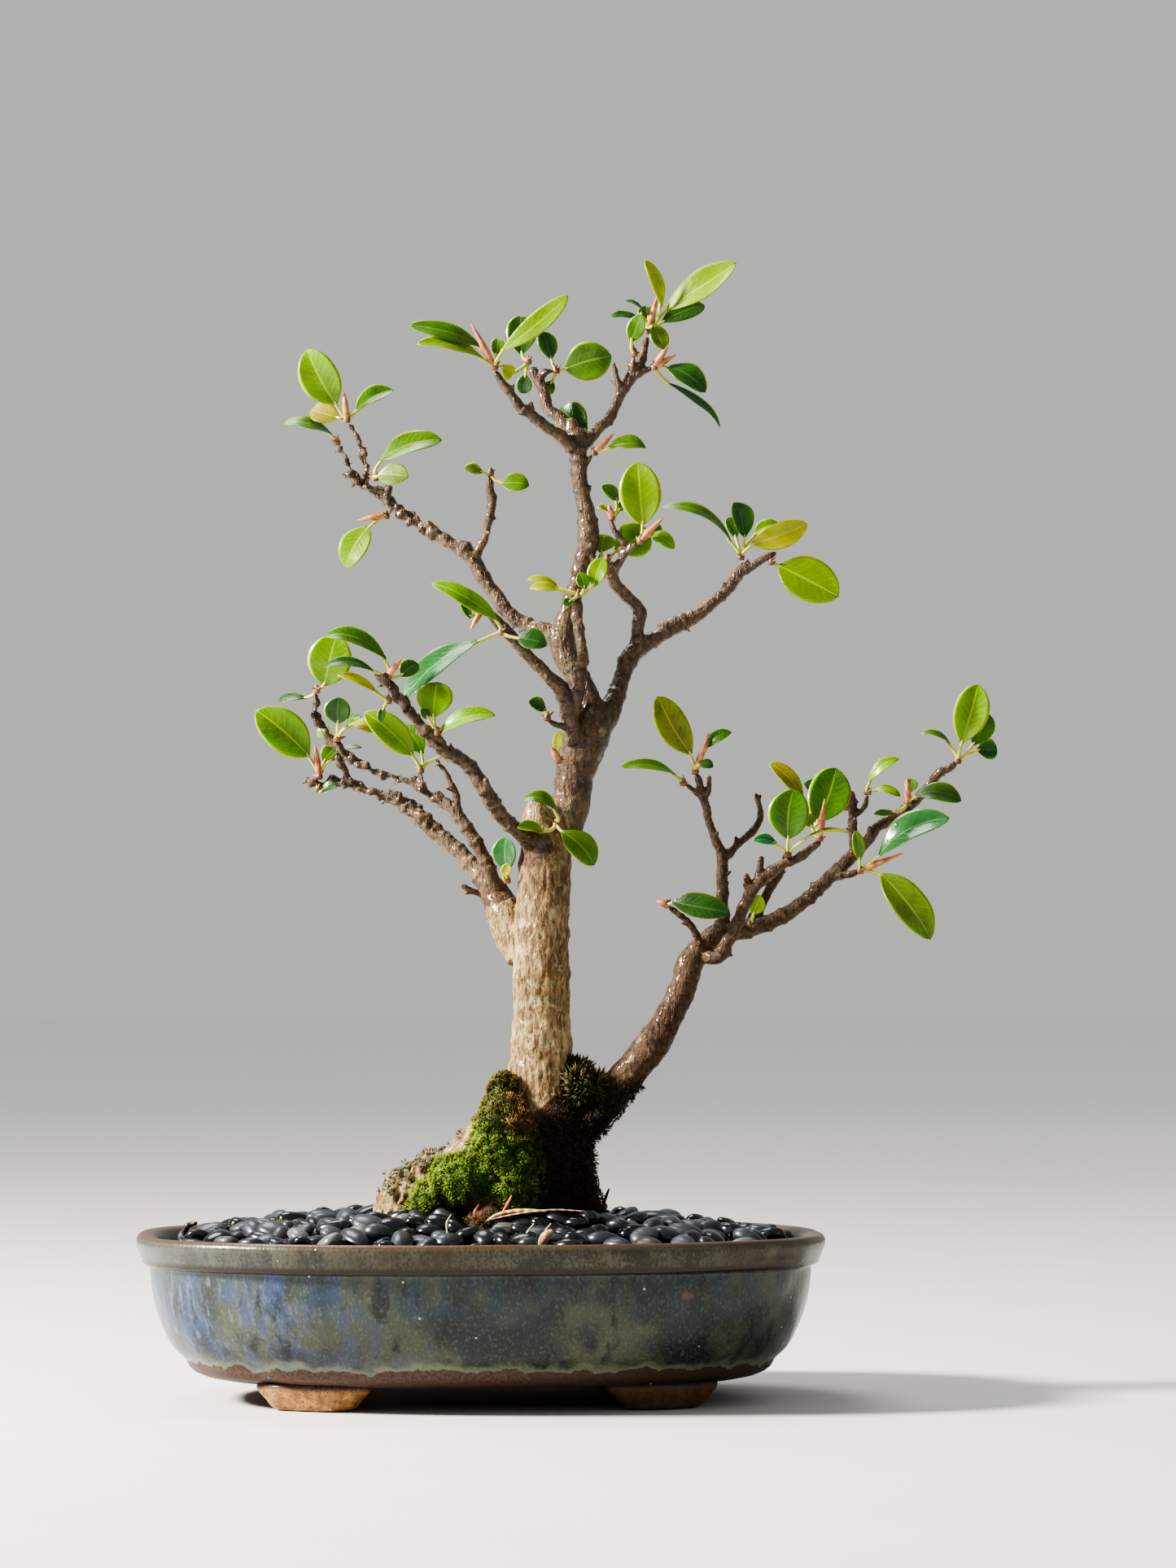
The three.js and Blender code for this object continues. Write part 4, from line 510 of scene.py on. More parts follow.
def grid_faces(rows, columns, first=0, closed=True, flip=False):
    """Quads over a grid of points; closed joins the last column to the first."""
    faces = []
    for row in range(rows - 1):
        for column in range(columns if closed else columns - 1):
            after = (column + 1) % columns
            quad = [
                first + row * columns + column,
                first + row * columns + after,
                first + (row + 1) * columns + after,
                first + (row + 1) * columns + column,
            ]
            faces.append(quad[::-1] if flip else quad)
    return faces


def closed_faces(rows, columns):
    """Quads over closed rings of points, with a face over each end."""
    first = list(range(columns))
    last = [(rows - 1) * columns + i for i in first]
    return [*grid_faces(rows, columns), first[::-1], last]


def lengths_along(line):
    """How far along a line each of its points is."""
    return np.concatenate([[0], np.cumsum(np.linalg.norm(np.diff(line, axis=0), axis=1))])


def between(values, low, high):
    """0 at low and 1 at high, straight between them; low may be the larger."""
    return np.clip((values - low) / (high - low), 0, 1)


def swell(place, height, middle, breadth):
    """A smooth bump along a line, or a dip if its height is below 0."""
    return height * np.exp(-(((place - middle) / breadth) ** 2))


class Shape:
    """Points, faces, the material of each face and a named vector at each point."""

    def __init__(self):
        self.points = []
        self.faces = []
        self.slots = []
        self.marks = []
        self.count = 0

    def add(self, points, faces, material=0, marks=None):
        points = np.asarray(points, dtype=float)
        self.points.append(points)
        self.faces += [[self.count + index for index in face] for face in faces]
        self.slots += [material] * len(faces)
        self.marks.append(np.zeros((len(points), 3)) if marks is None else np.asarray(marks, dtype=float))
        self.count += len(points)

    def piece(self, name, materials, slot, replaced=()):
        mesh = bpy.data.meshes.new(name)
        mesh.from_pydata(np.vstack(self.points).tolist(), [], self.faces)
        mesh.polygons.foreach_set("material_index", self.slots)
        mesh.polygons.foreach_set("use_smooth", [True] * len(self.faces))
        write_marks(mesh, np.vstack(self.marks))
        return finish_piece(name, mesh, materials, replaced)


def write_marks(mesh, marks):
    made = mesh.attributes.new("marks", "FLOAT_VECTOR", "POINT")
    made.data.foreach_set("vector", np.asarray(marks, dtype=np.float32).ravel())


def finish_piece(name, mesh, materials, replaced=()):
    piece = linked(name, mesh)
    for material in materials:
        mesh.materials.append(material)
    mesh.update()
    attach(piece, "root")
    if replaced:
        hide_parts(*replaced)
    return piece


def linked(name, data):
    piece = bpy.data.objects.new(name, data)
    bpy.context.scene.collection.objects.link(piece)
    return piece


def apply_modifiers(piece):
    evaluated = piece.evaluated_get(bpy.context.evaluated_depsgraph_get())
    mesh = bpy.data.meshes.new_from_object(evaluated)
    piece.modifiers.clear()
    piece.data = mesh
    mesh.polygons.foreach_set("use_smooth", [True] * len(mesh.polygons))


def melted(rough, voxel, smoothing, rounds):
    """Joins a mesh's parts into one smoothed skin, and gives its mesh, points and normals."""
    piece = linked(rough.name, rough)
    join = piece.modifiers.new("join", "REMESH")
    join.mode = "VOXEL"
    join.voxel_size = voxel * MM
    relax = piece.modifiers.new("relax", "SMOOTH")
    relax.factor = smoothing
    relax.iterations = rounds
    apply_modifiers(piece)
    mesh = piece.data
    bpy.data.objects.remove(piece)
    vectors = []
    for kind in ("co", "normal"):
        flat = np.empty(len(mesh.vertices) * 3)
        mesh.vertices.foreach_get(kind, flat)
        vectors.append(flat.reshape(-1, 3))
    return mesh, *vectors


def smooth_line(points, step):
    """A curve through points whose first three numbers are a place, with a point about every `step`."""
    points = np.asarray(points, dtype=float)
    padded = np.vstack([2 * points[0] - points[1], points, 2 * points[-1] - points[-2]])
    out = []
    for i in range(1, len(padded) - 2):
        p0, p1, p2, p3 = padded[i - 1 : i + 3]
        gaps = [max(np.linalg.norm(b[:3] - a[:3]), 1e-9) ** 0.5 for a, b in ((p0, p1), (p1, p2), (p2, p3))]
        t1 = gaps[0]
        t2 = t1 + gaps[1]
        t3 = t2 + gaps[2]
        count = max(2, round(gaps[1] ** 2 / step))
        for t in np.linspace(t1, t2, count, endpoint=False):
            a1 = (t1 - t) / t1 * p0 + t / t1 * p1
            a2 = (t2 - t) / (t2 - t1) * p1 + (t - t1) / (t2 - t1) * p2
            a3 = (t3 - t) / (t3 - t2) * p2 + (t - t2) / (t3 - t2) * p3
            b1 = (t2 - t) / t2 * a1 + t / t2 * a2
            b2 = (t3 - t) / (t3 - t1) * a2 + (t - t1) / (t3 - t1) * a3
            out.append((t2 - t) / (t2 - t1) * b1 + (t - t1) / (t2 - t1) * b2)
    out.append(points[-1])
    return np.array(out)


def tube(centres, radii, sides):
    """Rings of points along a line, with the closed tube's faces; its last end is round and its first end
    is flat.
    """
    centres = np.asarray(centres, dtype=float)
    tangents = unit(np.gradient(centres, axis=0))
    across = np.array([0.0, 1.0, 0.0]) if abs(tangents[0][1]) < 0.9 else np.array([1.0, 0.0, 0.0])
    angles = np.linspace(0, 2 * math.pi, sides, endpoint=False)
    rings = []
    for centre, tangent, radius in zip(centres, tangents, radii):
        across = unit(across - tangent * across.dot(tangent))
        other = np.cross(tangent, across)
        rings.append(centre + radius * (np.outer(np.cos(angles), across) + np.outer(np.sin(angles), other)))
    for share in (0.6, 0.85, 0.98):
        width = math.sqrt(1 - share**2)
        ring = rings[len(centres) - 1]
        rings.append(centres[-1] + (ring - centres[-1]) * width + tangents[-1] * radii[-1] * share)
    points = np.vstack(rings)
    return points, closed_faces(len(rings), sides)


# ---------------------------------------------------------------- materials


class Nodes:
    """A material's node tree, written as calls."""

    def __init__(self, name):
        self.material = bpy.data.materials.new(name)
        self.material.use_nodes = True
        self.tree = self.material.node_tree
        self.shader = self.tree.nodes["Principled BSDF"]
        self.place = self.make("ShaderNodeTexCoord").outputs["Object"]

    def make(self, kind, settings=None, **inputs):
        node = self.tree.nodes.new(kind)
        for key, value in (settings or {}).items():
            setattr(node, key, value)
        for key, value in inputs.items():
            self.put(node.inputs[int(key[1:])] if key[0] == "_" else node.inputs[key], value)
        return node

    def put(self, socket, value):
        if isinstance(value, bpy.types.NodeSocket):
            self.tree.links.new(value, socket)
        elif isinstance(value, tuple) and len(value) == 3 and socket.type == "RGBA":
            socket.default_value = (*value, 1)
        else:
            socket.default_value = value

    def math(self, operation, a, b=0.0, clamp=False):
        settings = {"operation": operation, "use_clamp": clamp}
        return self.make("ShaderNodeMath", settings, _0=a, _1=b).outputs[0]

    def plus(self, a, b):
        return self.math("ADD", a, b)

    def minus(self, a, b):
        return self.math("SUBTRACT", a, b)

    def times(self, a, b, clamp=False):
        return self.math("MULTIPLY", a, b, clamp)

    def ramp(self, value, low, high):
        """0 below low and 1 above high, or the other way round if low is the larger."""
        settings = {"interpolation_type": "SMOOTHSTEP"}
        ends = {"_1": low, "_2": high}
        if low > high:
            ends = {"_1": high, "_2": low, "_3": 1.0, "_4": 0.0}
        return self.make("ShaderNodeMapRange", settings, _0=value, **ends).outputs[0]

    def mix(self, factor, a, b):
        return self.make("ShaderNodeMix", {"data_type": "RGBA"}, _0=factor, _6=a, _7=b).outputs[2]

    def layer(self, under, colour, mask, share=None):
        """A colour laid over another one where the mask is 1, as strongly as `share`."""
        return self.mix(mask if share is None else self.times(mask, share), under, colour)

    def vector(self, operation, a, b, **inputs):
        return self.make("ShaderNodeVectorMath", {"operation": operation}, _0=a, _1=b, **inputs).outputs[0]

    def scaled(self, size, stretch, at):
        """A place, so that one unit of it is `size` millimetres, longer along each axis by `stretch`."""
        scale = tuple(1 / (size * MM * factor) for factor in stretch)
        return self.vector("MULTIPLY", at or self.place, scale)

    def noise(self, size, detail=3.0, stretch=(1, 1, 1)):
        """Noise from 0 to 1 whose lumps are about `size` millimetres."""
        vector = self.scaled(size, stretch, None)
        return self.make("ShaderNodeTexNoise", Vector=vector, Scale=1.0, Detail=detail).outputs[0]

    def warped(self, amount, size):
        """The place, pushed about by up to `amount` millimetres in lumps of `size`."""
        vector = self.scaled(size, (1, 1, 1), None)
        lumps = self.make("ShaderNodeTexNoise", Vector=vector, Scale=1.0, Detail=2.0).outputs["Color"]
        centred = self.vector("SUBTRACT", lumps, (0.5, 0.5, 0.5))
        return self.vector("MULTIPLY_ADD", centred, (amount * MM,) * 3, _2=self.place)

    def cells(self, size, feature="F1", at=None, stretch=(1, 1, 1)):
        """How far the middle, or the edge, of a cell is; cells are about `size` millimetres wide."""
        vector = self.scaled(size, stretch, at)
        return self.make("ShaderNodeTexVoronoi", {"feature": feature}, Vector=vector, Scale=1.0).outputs[0]

    def marks(self):
        """The three numbers that the mesh carries at each point."""
        found = self.make("ShaderNodeAttribute", {"attribute_name": "marks"}).outputs["Vector"]
        return self.make("ShaderNodeSeparateXYZ", _0=found).outputs

    def finish(self, colour, rough, bump=None, strength=0.3, depth=0.3, **sockets):
        """Sets the shader's inputs; depth is the bump's height in millimetres."""
        self.put(self.shader.inputs["Base Color"], colour)
        self.put(self.shader.inputs["Roughness"], rough)
        for key, value in sockets.items():
            self.put(self.shader.inputs[key.replace("_", " ")], value)
        if bump is not None:
            made = self.make("ShaderNodeBump", Height=bump, Strength=strength, Distance=depth * MM)
            self.put(self.shader.inputs["Normal"], made.outputs[0])
        return self.material


def glaze_material():
    n = Nodes("glaze")
    x, _, z = n.make("ShaderNodeSeparateXYZ", _0=n.place).outputs
    drips = n.noise(8, 4, (1, 1, 2.8))
    patches = n.noise(22, 3, (1.1, 1.1, 1))
    fleck = n.noise(0.9, 3, (1, 1, 1.5))
    height = n.plus(z, n.times(n.minus(drips, 0.5), 0.01))

    body = n.mix(n.ramp(patches, 0.4, 0.6), (0.011, 0.016, 0.017), (0.052, 0.058, 0.038))
    upper = n.times(n.ramp(height, 0.028, 0.042), n.ramp(drips, 0.35, 0.65))
    body = n.layer(body, (0.012, 0.028, 0.038), upper)
    blue = n.times(n.ramp(n.noise(9, 4, (1, 1, 2.4)), 0.4, 0.66), n.ramp(x, -0.02, -0.13))
    body = n.layer(body, (0.03, 0.055, 0.15), blue, 0.7)
    # painted highlight: pale lavender streaks at the pot's left end, where the light falls on the glaze
    painted_violet_highlight = n.times(n.ramp(n.noise(3, 3, (1, 1, 4)), 0.55, 0.72), n.ramp(x, -0.07, -0.15))
    body = n.layer(body, (0.15, 0.19, 0.3), painted_violet_highlight, 0.45)
    dark = n.ramp(n.noise(6, 4, (1, 1, 2.6)), 0.54, 0.7)
    body = n.layer(body, (0.0035, 0.0055, 0.011), dark, 0.9)
    rust = n.ramp(n.noise(12, 2), 0.7, 0.78)
    body = n.layer(body, (0.16, 0.075, 0.03), rust, 0.5)
    body = n.layer(body, (0.18, 0.2, 0.15), n.ramp(fleck, 0.5, 0.72), 0.26)

    cloud = n.plus(n.times(fleck, 0.5), n.times(drips, 0.5))
    lip = n.mix(n.ramp(cloud, 0.42, 0.6), (0.015, 0.0135, 0.0075), (0.066, 0.066, 0.039))
    lip = n.layer(lip, (0.05, 0.029, 0.015), n.ramp(patches, 0.48, 0.6), 0.45)
    lip = n.layer(lip, (0.05, 0.065, 0.075), n.ramp(x, -0.06, -0.16), 0.5)
    # painted shade: a dark line just under the lip's edge, partly a darker brown glaze there
    under = n.times(n.ramp(z, 0.0487, 0.0495), n.ramp(z, 0.0525, 0.0508))
    lip = n.layer(lip, (0.016, 0.01, 0.006), under)
    body = n.layer(body, lip, n.ramp(z, 0.0487, 0.0497))
    body = n.layer(body, (0.09, 0.082, 0.055), n.ramp(z, 0.0565, 0.0585), 0.5)
    edge = n.times(n.ramp(z, 0.0583, 0.0594), n.ramp(patches, 0.3, 0.5))
    body = n.layer(body, (0.07, 0.038, 0.026), edge)

    clay = n.mix(n.ramp(n.noise(3, 4), 0.35, 0.65), (0.2, 0.098, 0.034), (0.36, 0.2, 0.074))
    clay = n.layer(clay, (0.07, 0.035, 0.015), n.ramp(n.noise(0.8, 2), 0.6, 0.66))
    slip = n.mix(n.ramp(fleck, 0.4, 0.6), (0.045, 0.024, 0.017), (0.09, 0.05, 0.036))
    clay = n.layer(clay, slip, n.ramp(z, 0.0068, 0.0088))
    # painted shade: the bare clay and feet darker towards the right, away from the light
    clay = n.layer(clay, (0.045, 0.027, 0.015), n.ramp(x, -0.04, 0.03), 0.75)
    bare = n.ramp(height, 0.0152, 0.0146)
    halo = n.times(n.ramp(height, 0.0185, 0.0155), 0.6)
    body = n.layer(body, (0.17, 0.185, 0.125), halo)
    colour = n.mix(bare, body, clay)
    pinholes = n.ramp(n.cells(9), 0.055, 0.035)
    colour = n.layer(colour, (0.5, 0.5, 0.42), pinholes)

    glossy = n.plus(0.16, n.times(fleck, 0.3))
    rough = n.plus(n.times(bare, 0.35), glossy)
    relief = n.plus(n.times(fleck, 0.5), n.times(drips, 1.5))
    relief = n.minus(relief, n.plus(n.times(bare, 1.2), pinholes))
    return n.finish(colour, rough, relief, 0.6, 0.4, Coat_Weight=0.15, Coat_Roughness=0.08,
                    Specular_IOR_Level=0.38)


def pebble_material():
    n = Nodes("pebbles")
    shade, tint, _ = n.marks()
    fine = n.noise(0.5, 3)
    colour = n.mix(shade, (0.004, 0.005, 0.007), (0.028, 0.035, 0.044))
    colour = n.layer(colour, (0.04, 0.028, 0.022), n.ramp(tint, 0.92, 0.93))
    colour = n.layer(colour, (0.11, 0.11, 0.105), n.ramp(tint, 0.955, 0.96))
    veins = n.times(n.ramp(n.noise(3, 5), 0.6, 0.66), 0.25)
    colour = n.layer(colour, (0.06, 0.065, 0.075), veins)
    rough = n.plus(0.17, n.times(n.times(shade, fine), 0.6))
    return n.finish(colour, rough, fine, 0.1, 0.1, Coat_Weight=0.25, Coat_Roughness=0.06)


def bark_material():
    """Reads paleness, thickness and, above 0, wetness or, below 0, soil and painted shade from the mesh."""
    n = Nodes("bark")
    pale, thick, wet = n.marks()
    soil_and_shade = n.times(wet, -1.0, True)
    gloss = n.times(wet, 1.0, True)
    bent = n.warped(1.2, 4)
    grain = n.noise(1.3, 4, (1, 1, 4))
    blotch = n.noise(7, 4, (1, 1, 1.8))
    fine = n.noise(0.45, 3)
    net = n.ramp(n.cells(2.3, "DISTANCE_TO_EDGE", at=bent, stretch=(1, 1, 3.2)), 0.13, 0.03)
    net = n.times(net, n.ramp(n.noise(2.5, 3), 0.35, 0.6))
    young = n.mix(n.ramp(n.noise(2.2, 3), 0.35, 0.65), (0.018, 0.0076, 0.003), (0.078, 0.034, 0.012))
    old = n.mix(n.ramp(grain, 0.35, 0.65), (0.15, 0.09, 0.036), (0.3, 0.205, 0.09))
    old = n.layer(old, (0.44, 0.34, 0.19), n.ramp(blotch, 0.5, 0.68), 0.7)
    old = n.layer(old, (0.085, 0.046, 0.02), n.ramp(blotch, 0.42, 0.28), 0.6)
    old = n.layer(old, (0.5, 0.4, 0.23), net, 0.6)
    colour = n.mix(pale, young, old)
    lenticels = n.ramp(n.cells(2.1, stretch=(1, 1, 0.6)), 0.2, 0.12)
    colour = n.layer(colour, (0.26, 0.18, 0.1), lenticels, 0.45)
    cracks = n.ramp(n.noise(0.9, 3, (1, 1, 6)), 0.44, 0.36)
    colour = n.layer(colour, (0.035, 0.018, 0.01), cracks, 0.6)
    lichen = n.times(n.ramp(n.noise(5, 5), 0.58, 0.68), n.times(thick, 0.5))
    colour = n.layer(colour, (0.3, 0.32, 0.18), lichen)
    # soil, and painted shade on the right of the trunk's foot, laid over the bark
    soil_and_shade_colour = n.mix(n.ramp(fine, 0.4, 0.7), (0.009, 0.006, 0.004), (0.045, 0.028, 0.015))
    colour = n.layer(colour, soil_and_shade_colour, soil_and_shade)
    rough = n.minus(n.plus(0.6, n.times(fine, 0.3)), n.times(gloss, 0.45))
    relief = n.minus(n.plus(fine, grain), n.times(cracks, 0.8))
    relief = n.plus(relief, n.times(n.plus(lenticels, net), 0.5))
    coat = n.times(gloss, 0.6)
    return n.finish(colour, rough, relief, 0.85, 0.4, Coat_Weight=coat, Coat_Roughness=0.1,
                    Specular_IOR_Level=0.3)


def moss_material():
    """Reads greenness, brightness and how much lichen there is from the mesh."""
    n = Nodes("moss")
    green, bright, lichen = n.marks()
    rust = n.mix(bright, (0.022, 0.014, 0.006), (0.22, 0.1, 0.02))
    fresh = n.mix(bright, (0.007, 0.02, 0.002), (0.14, 0.28, 0.008))
    colour = n.mix(lichen, n.mix(green, rust, fresh), (0.36, 0.38, 0.22))
    return n.finish(colour, 0.6, n.noise(0.3, 2), 0.3, 0.2, Subsurface_Weight=0.15, Subsurface_Scale=0.001)


LEAF_TONES = {  # blade, veins, gloss
    # bright is partly a fresh yellow-green and partly painted light: the glow of a leaf lit through from
    # behind
    "bright": ((0.1, 0.215, 0.003), (0.27, 0.42, 0.025), 0.32),
    "green": ((0.042, 0.12, 0.004), (0.15, 0.27, 0.025), 0.28),
    # dark is partly a darker green and partly painted shade on leaves that are not lit through
    "dark": ((0.016, 0.062, 0.009), (0.06, 0.15, 0.025), 0.26),
    # blue is a painted reflection: the bluish sheen of the sky on a glossy wet leaf
    "blue": ((0.016, 0.11, 0.034), (0.1, 0.25, 0.07), 0.14),
    "pale": ((0.085, 0.15, 0.014), (0.2, 0.29, 0.05), 0.4),
    "olive": ((0.135, 0.15, 0.01), (0.31, 0.31, 0.05), 0.34),
    "young": ((0.25, 0.29, 0.012), (0.4, 0.4, 0.06), 0.34),
}


def leaf_material(tone):
    """Reads a point's place across the blade, -1 to 1, and along it, 0 to 1, and a chance from the mesh."""
    n = Nodes(f"leaf_{tone}")
    blade, vein, gloss = LEAF_TONES[tone]
    across, along, chance = n.marks()
    aside = n.math("ABSOLUTE", across)
    patch = n.noise(6, 3)
    darker = tuple(value * 0.6 for value in blade)
    warmer = (blade[0] * 1.4 + 0.02, blade[1] * 1.06, blade[2])
    colour = n.mix(n.ramp(patch, 0.4, 0.7), blade, darker)
    colour = n.layer(colour, warmer, chance, 0.6)
    freckles = n.times(n.ramp(n.noise(0.55, 2), 0.6, 0.7), 0.16)
    colour = n.layer(colour, vein, freckles)
    midrib = n.ramp(aside, 0.07, 0.03)
    rows = n.minus(n.times(along, 9.0), n.times(aside, 2.2))
    stripe = n.math("ABSOLUTE", n.minus(n.math("FRACT", rows), 0.5))
    side_veins = n.times(n.ramp(stripe, 0.07, 0.02), n.ramp(aside, 0.95, 0.6))
    colour = n.layer(colour, vein, side_veins, 0.3)
    colour = n.layer(colour, vein, midrib, 0.8)
    margin = n.times(n.ramp(aside, 0.93, 0.99), 0.45)
    colour = n.layer(colour, (0.42, 0.42, 0.06), margin)
    drops = n.ramp(n.cells(3.2), 0.2, 0.12)
    relief = n.minus(n.times(patch, 0.4), n.times(side_veins, 0.35))
    relief = n.plus(relief, n.times(n.noise(0.7, 2), 0.25))
    relief = n.plus(relief, n.times(drops, 0.8))
    rough = n.minus(n.plus(gloss, n.times(patch, 0.12)), n.times(drops, 0.2))
    return n.finish(
        colour, rough, relief, 0.25, 0.25, Subsurface_Weight=0.35, Subsurface_Radius=(0.7, 1.0, 0.12),
        Subsurface_Scale=0.0012, Coat_Weight=0.1, Coat_Roughness=0.12, Specular_IOR_Level=0.36,
    )


def stalk_material(name, low, high):
    n = Nodes(name)
    colour = n.mix(n.ramp(n.noise(2.5, 3), 0.35, 0.65), low, high)
    softness = {"Subsurface_Weight": 0.15, "Subsurface_Scale": 0.0008}
    return n.finish(colour, 0.4, n.noise(0.5, 2), 0.2, 0.15, **softness)


def granular_material(name, low, high, size, rough, depth):
    n = Nodes(name)
    grains = n.cells(size)
    colour = n.mix(n.ramp(n.plus(grains, n.noise(size * 2, 3)), 0.5, 1.1), low, high)
    return n.finish(colour, rough, grains, 0.8, depth)


# ---------------------------------------------------------------- the pot

POT_HEIGHT = POT_HIGH.z / MM
# Half the rim's length and depth.
HALF = ((POT_HIGH.x - POT_LOW.x) / 2 / MM, (POT_HIGH.y - POT_LOW.y) / 2 / MM)
POT_STEPS = 360  # points around the oval
WALL = 6.5
RIM_WIDTH = 8
RIM_ROUND = 2.4
LIP_HEIGHT = 11
LIP_SLOPE = 2.2  # of the lip's lower edge behind the rim
LIP_ROUND = 1.4
BODY_TOP = POT_HEIGHT - LIP_HEIGHT
BODY_SETBACK = 4.6  # of the body's top behind the rim
BASE_INSET = 21
UNDERCUT = 7  # how much further in the base's edge is rounded
UNDERCUT_HEIGHT = 2.6
WAIST = (1.3, 15.5, 2.4)  # the groove above the base: its depth, height and breadth
WAIST_BEAD = (-0.7, 11.2, 2)  # the bead under it
CREASE_DEPTH = 1.5  # of the fold between each end of the pot and its sides
CREASE_TURN = (24, 21)  # degrees from the pot's end at the body's top, and how much more at its base
FOOT_HEIGHT = 8.5
FOOT_WIDTH = 15
FOOT_FLARE = 5
FOOT_TURN = math.radians(52)
FOOT_SPAN = 34
FOOT_SETBACK = 3  # behind the base's inset
FOOT_STEPS = 28
FOOT_LEVELS = [  # share of the flare, height, how much the edge is rounded
    (1.25, 0.0, 1.8), (1.12, 0.4, 0.8), (1.0, 1.1, 0.2), (0.85, 2.2, 0), (0.65, 3.8, 0), (0.4, 5.4, 0),
    (0.15, 6.8, 0.1), (0, 8.2, 0.3), (0, 9.8, 0.8),
]
FLOOR_TOP = FOOT_HEIGHT + 8
FLOOR_ROUNDING = 5
DRAIN_RADIUS = 8
DRAIN_SPACING = 90


def arc(radius, middle, start, end):
    """Points of a quarter round on the pot's outside, as (inset, height)."""
    angles = [math.radians(angle) for angle in np.linspace(start, end, 6)]
    return [(middle[0] - radius * math.cos(a), middle[1] + radius * math.sin(a)) for a in angles]


def oval_points(inset, angles, z):
    """Points of the oval that lies `inset` inside the rim's outline, in metres."""
    cos, sin = np.cos(angles), np.sin(angles)
    power = 2 / OVAL_POWER
    out = np.empty((len(angles), 3))
    out[:, 0] = POT_MIDDLE.x + (HALF[0] - inset) * np.sign(cos) * np.abs(cos) ** power * MM
    out[:, 1] = POT_MIDDLE.y + (HALF[1] - inset) * np.sign(sin) * np.abs(sin) ** power * MM
    out[:, 2] = z * MM
    return out


def even_angles(count):
    """Angles of the oval that part its outline into equal lengths."""
    dense = np.linspace(0, 2 * math.pi, 20001)
    length = lengths_along(oval_points(0, dense, 0))
    return np.interp(np.linspace(0, length[-1], count, endpoint=False), length, dense)


def body_inset(z):
    """How far inside the rim's outline the body's wall is at a height."""
    down = min(max((BODY_TOP - z) / (BODY_TOP - FOOT_HEIGHT), 0), 1)
    return BODY_SETBACK + (BASE_INSET - BODY_SETBACK) * down**2.1


def outer_profile():
    """The pot's outside from under its base up to the rim, as (inset, height)."""
    edge = BASE_INSET + UNDERCUT
    profile = [(edge + 16, FOOT_HEIGHT), (edge + 3, FOOT_HEIGHT), (edge + 0.8, FOOT_HEIGHT + 0.3)]
    for z in np.linspace(FOOT_HEIGHT + 1.2, BODY_TOP - 1, 30):
        waist = swell(z, *WAIST) + swell(z, *WAIST_BEAD)
        under = UNDERCUT * math.exp(-(z - FOOT_HEIGHT) / UNDERCUT_HEIGHT)
        profile.append((body_inset(z) + 0.5 + waist + under, z))
    lip_bottom = BODY_TOP + 0.4
    profile += [(BODY_SETBACK + 0.4, BODY_TOP), (LIP_SLOPE + LIP_ROUND, lip_bottom)]
    profile += arc(LIP_ROUND, (LIP_SLOPE + LIP_ROUND, lip_bottom + LIP_ROUND), -90, 0)[1:]
    profile += [(LIP_SLOPE * 0.5, BODY_TOP + 4.6), (0.1, BODY_TOP + 7.2)]
    return profile + arc(RIM_ROUND, (RIM_ROUND, POT_HEIGHT - RIM_ROUND), 0, 90)


def inner_profile():
    """The rim's top and the pot's inside down to its floor."""
    rim = [(4.2, POT_HEIGHT - 0.1), (6, POT_HEIGHT - 0.4), (7.3, POT_HEIGHT - 1.2)]
    rim += [(RIM_WIDTH, POT_HEIGHT - 2.6), (RIM_WIDTH + 1, POT_HEIGHT - 7)]
    wall = [(body_inset(z) + WALL, z) for z in (BODY_TOP - 4, 36, 28, 21)]
    return [*rim, *wall, (body_inset(FLOOR_TOP) + WALL + FLOOR_ROUNDING, FLOOR_TOP)]


def creases(points, angles):
    """How far the folds beside the pot's ends move its outside: deeper towards the base."""
    from_end = np.abs(np.arcsin(np.abs(np.sin(angles))))
    down = np.clip((BODY_TOP * MM - points[:, 2]) / ((BODY_TOP - FOOT_HEIGHT) * MM), 0, 1)
    turn, spread = np.radians(CREASE_TURN)
    beside = from_end - (turn + spread * down)
    fold = swell(beside, -CREASE_DEPTH, 0, 0.075) + swell(beside, CREASE_DEPTH / 2, -0.2, 0.12)
    return fold * down**0.7 * (points[:, 2] > (FOOT_HEIGHT + 0.2) * MM)


def make_pot():
    angles = even_angles(POT_STEPS)
    outside = outer_profile()
    profile = outside + inner_profile()
    points = np.vstack([oval_points(inset, angles, z) for inset, z in profile])
    outer = np.arange(len(points)) < len(outside) * POT_STEPS
    wobble = value_noise(points, 34, 1) * 0.35 + value_noise(points, 9, 2) * 0.12
    wobble += creases(points, np.tile(angles, len(profile))) * outer
    outward = unit((points - np.array([POT_MIDDLE.x, POT_MIDDLE.y, 0])) * np.array([1, 1, 0]))
    points += outward * (wobble - 0.35)[:, None] * MM
    points[:, 2] += value_noise(points, 30, 3) * 0.25 * MM * (points[:, 2] > 0.03)
    shape = Shape()
    shape.add(points, closed_faces(len(profile), POT_STEPS))
    pot = shape.piece("pot_body", [glaze_material()], "glazed_pot", ["pot", "pot_floor"])
    bore_drains(pot)
    for side, turn_angle in enumerate((FOOT_TURN, math.pi - FOOT_TURN, math.pi + FOOT_TURN, -FOOT_TURN)):
        make_foot(side, turn_angle, pot.data.materials[0])


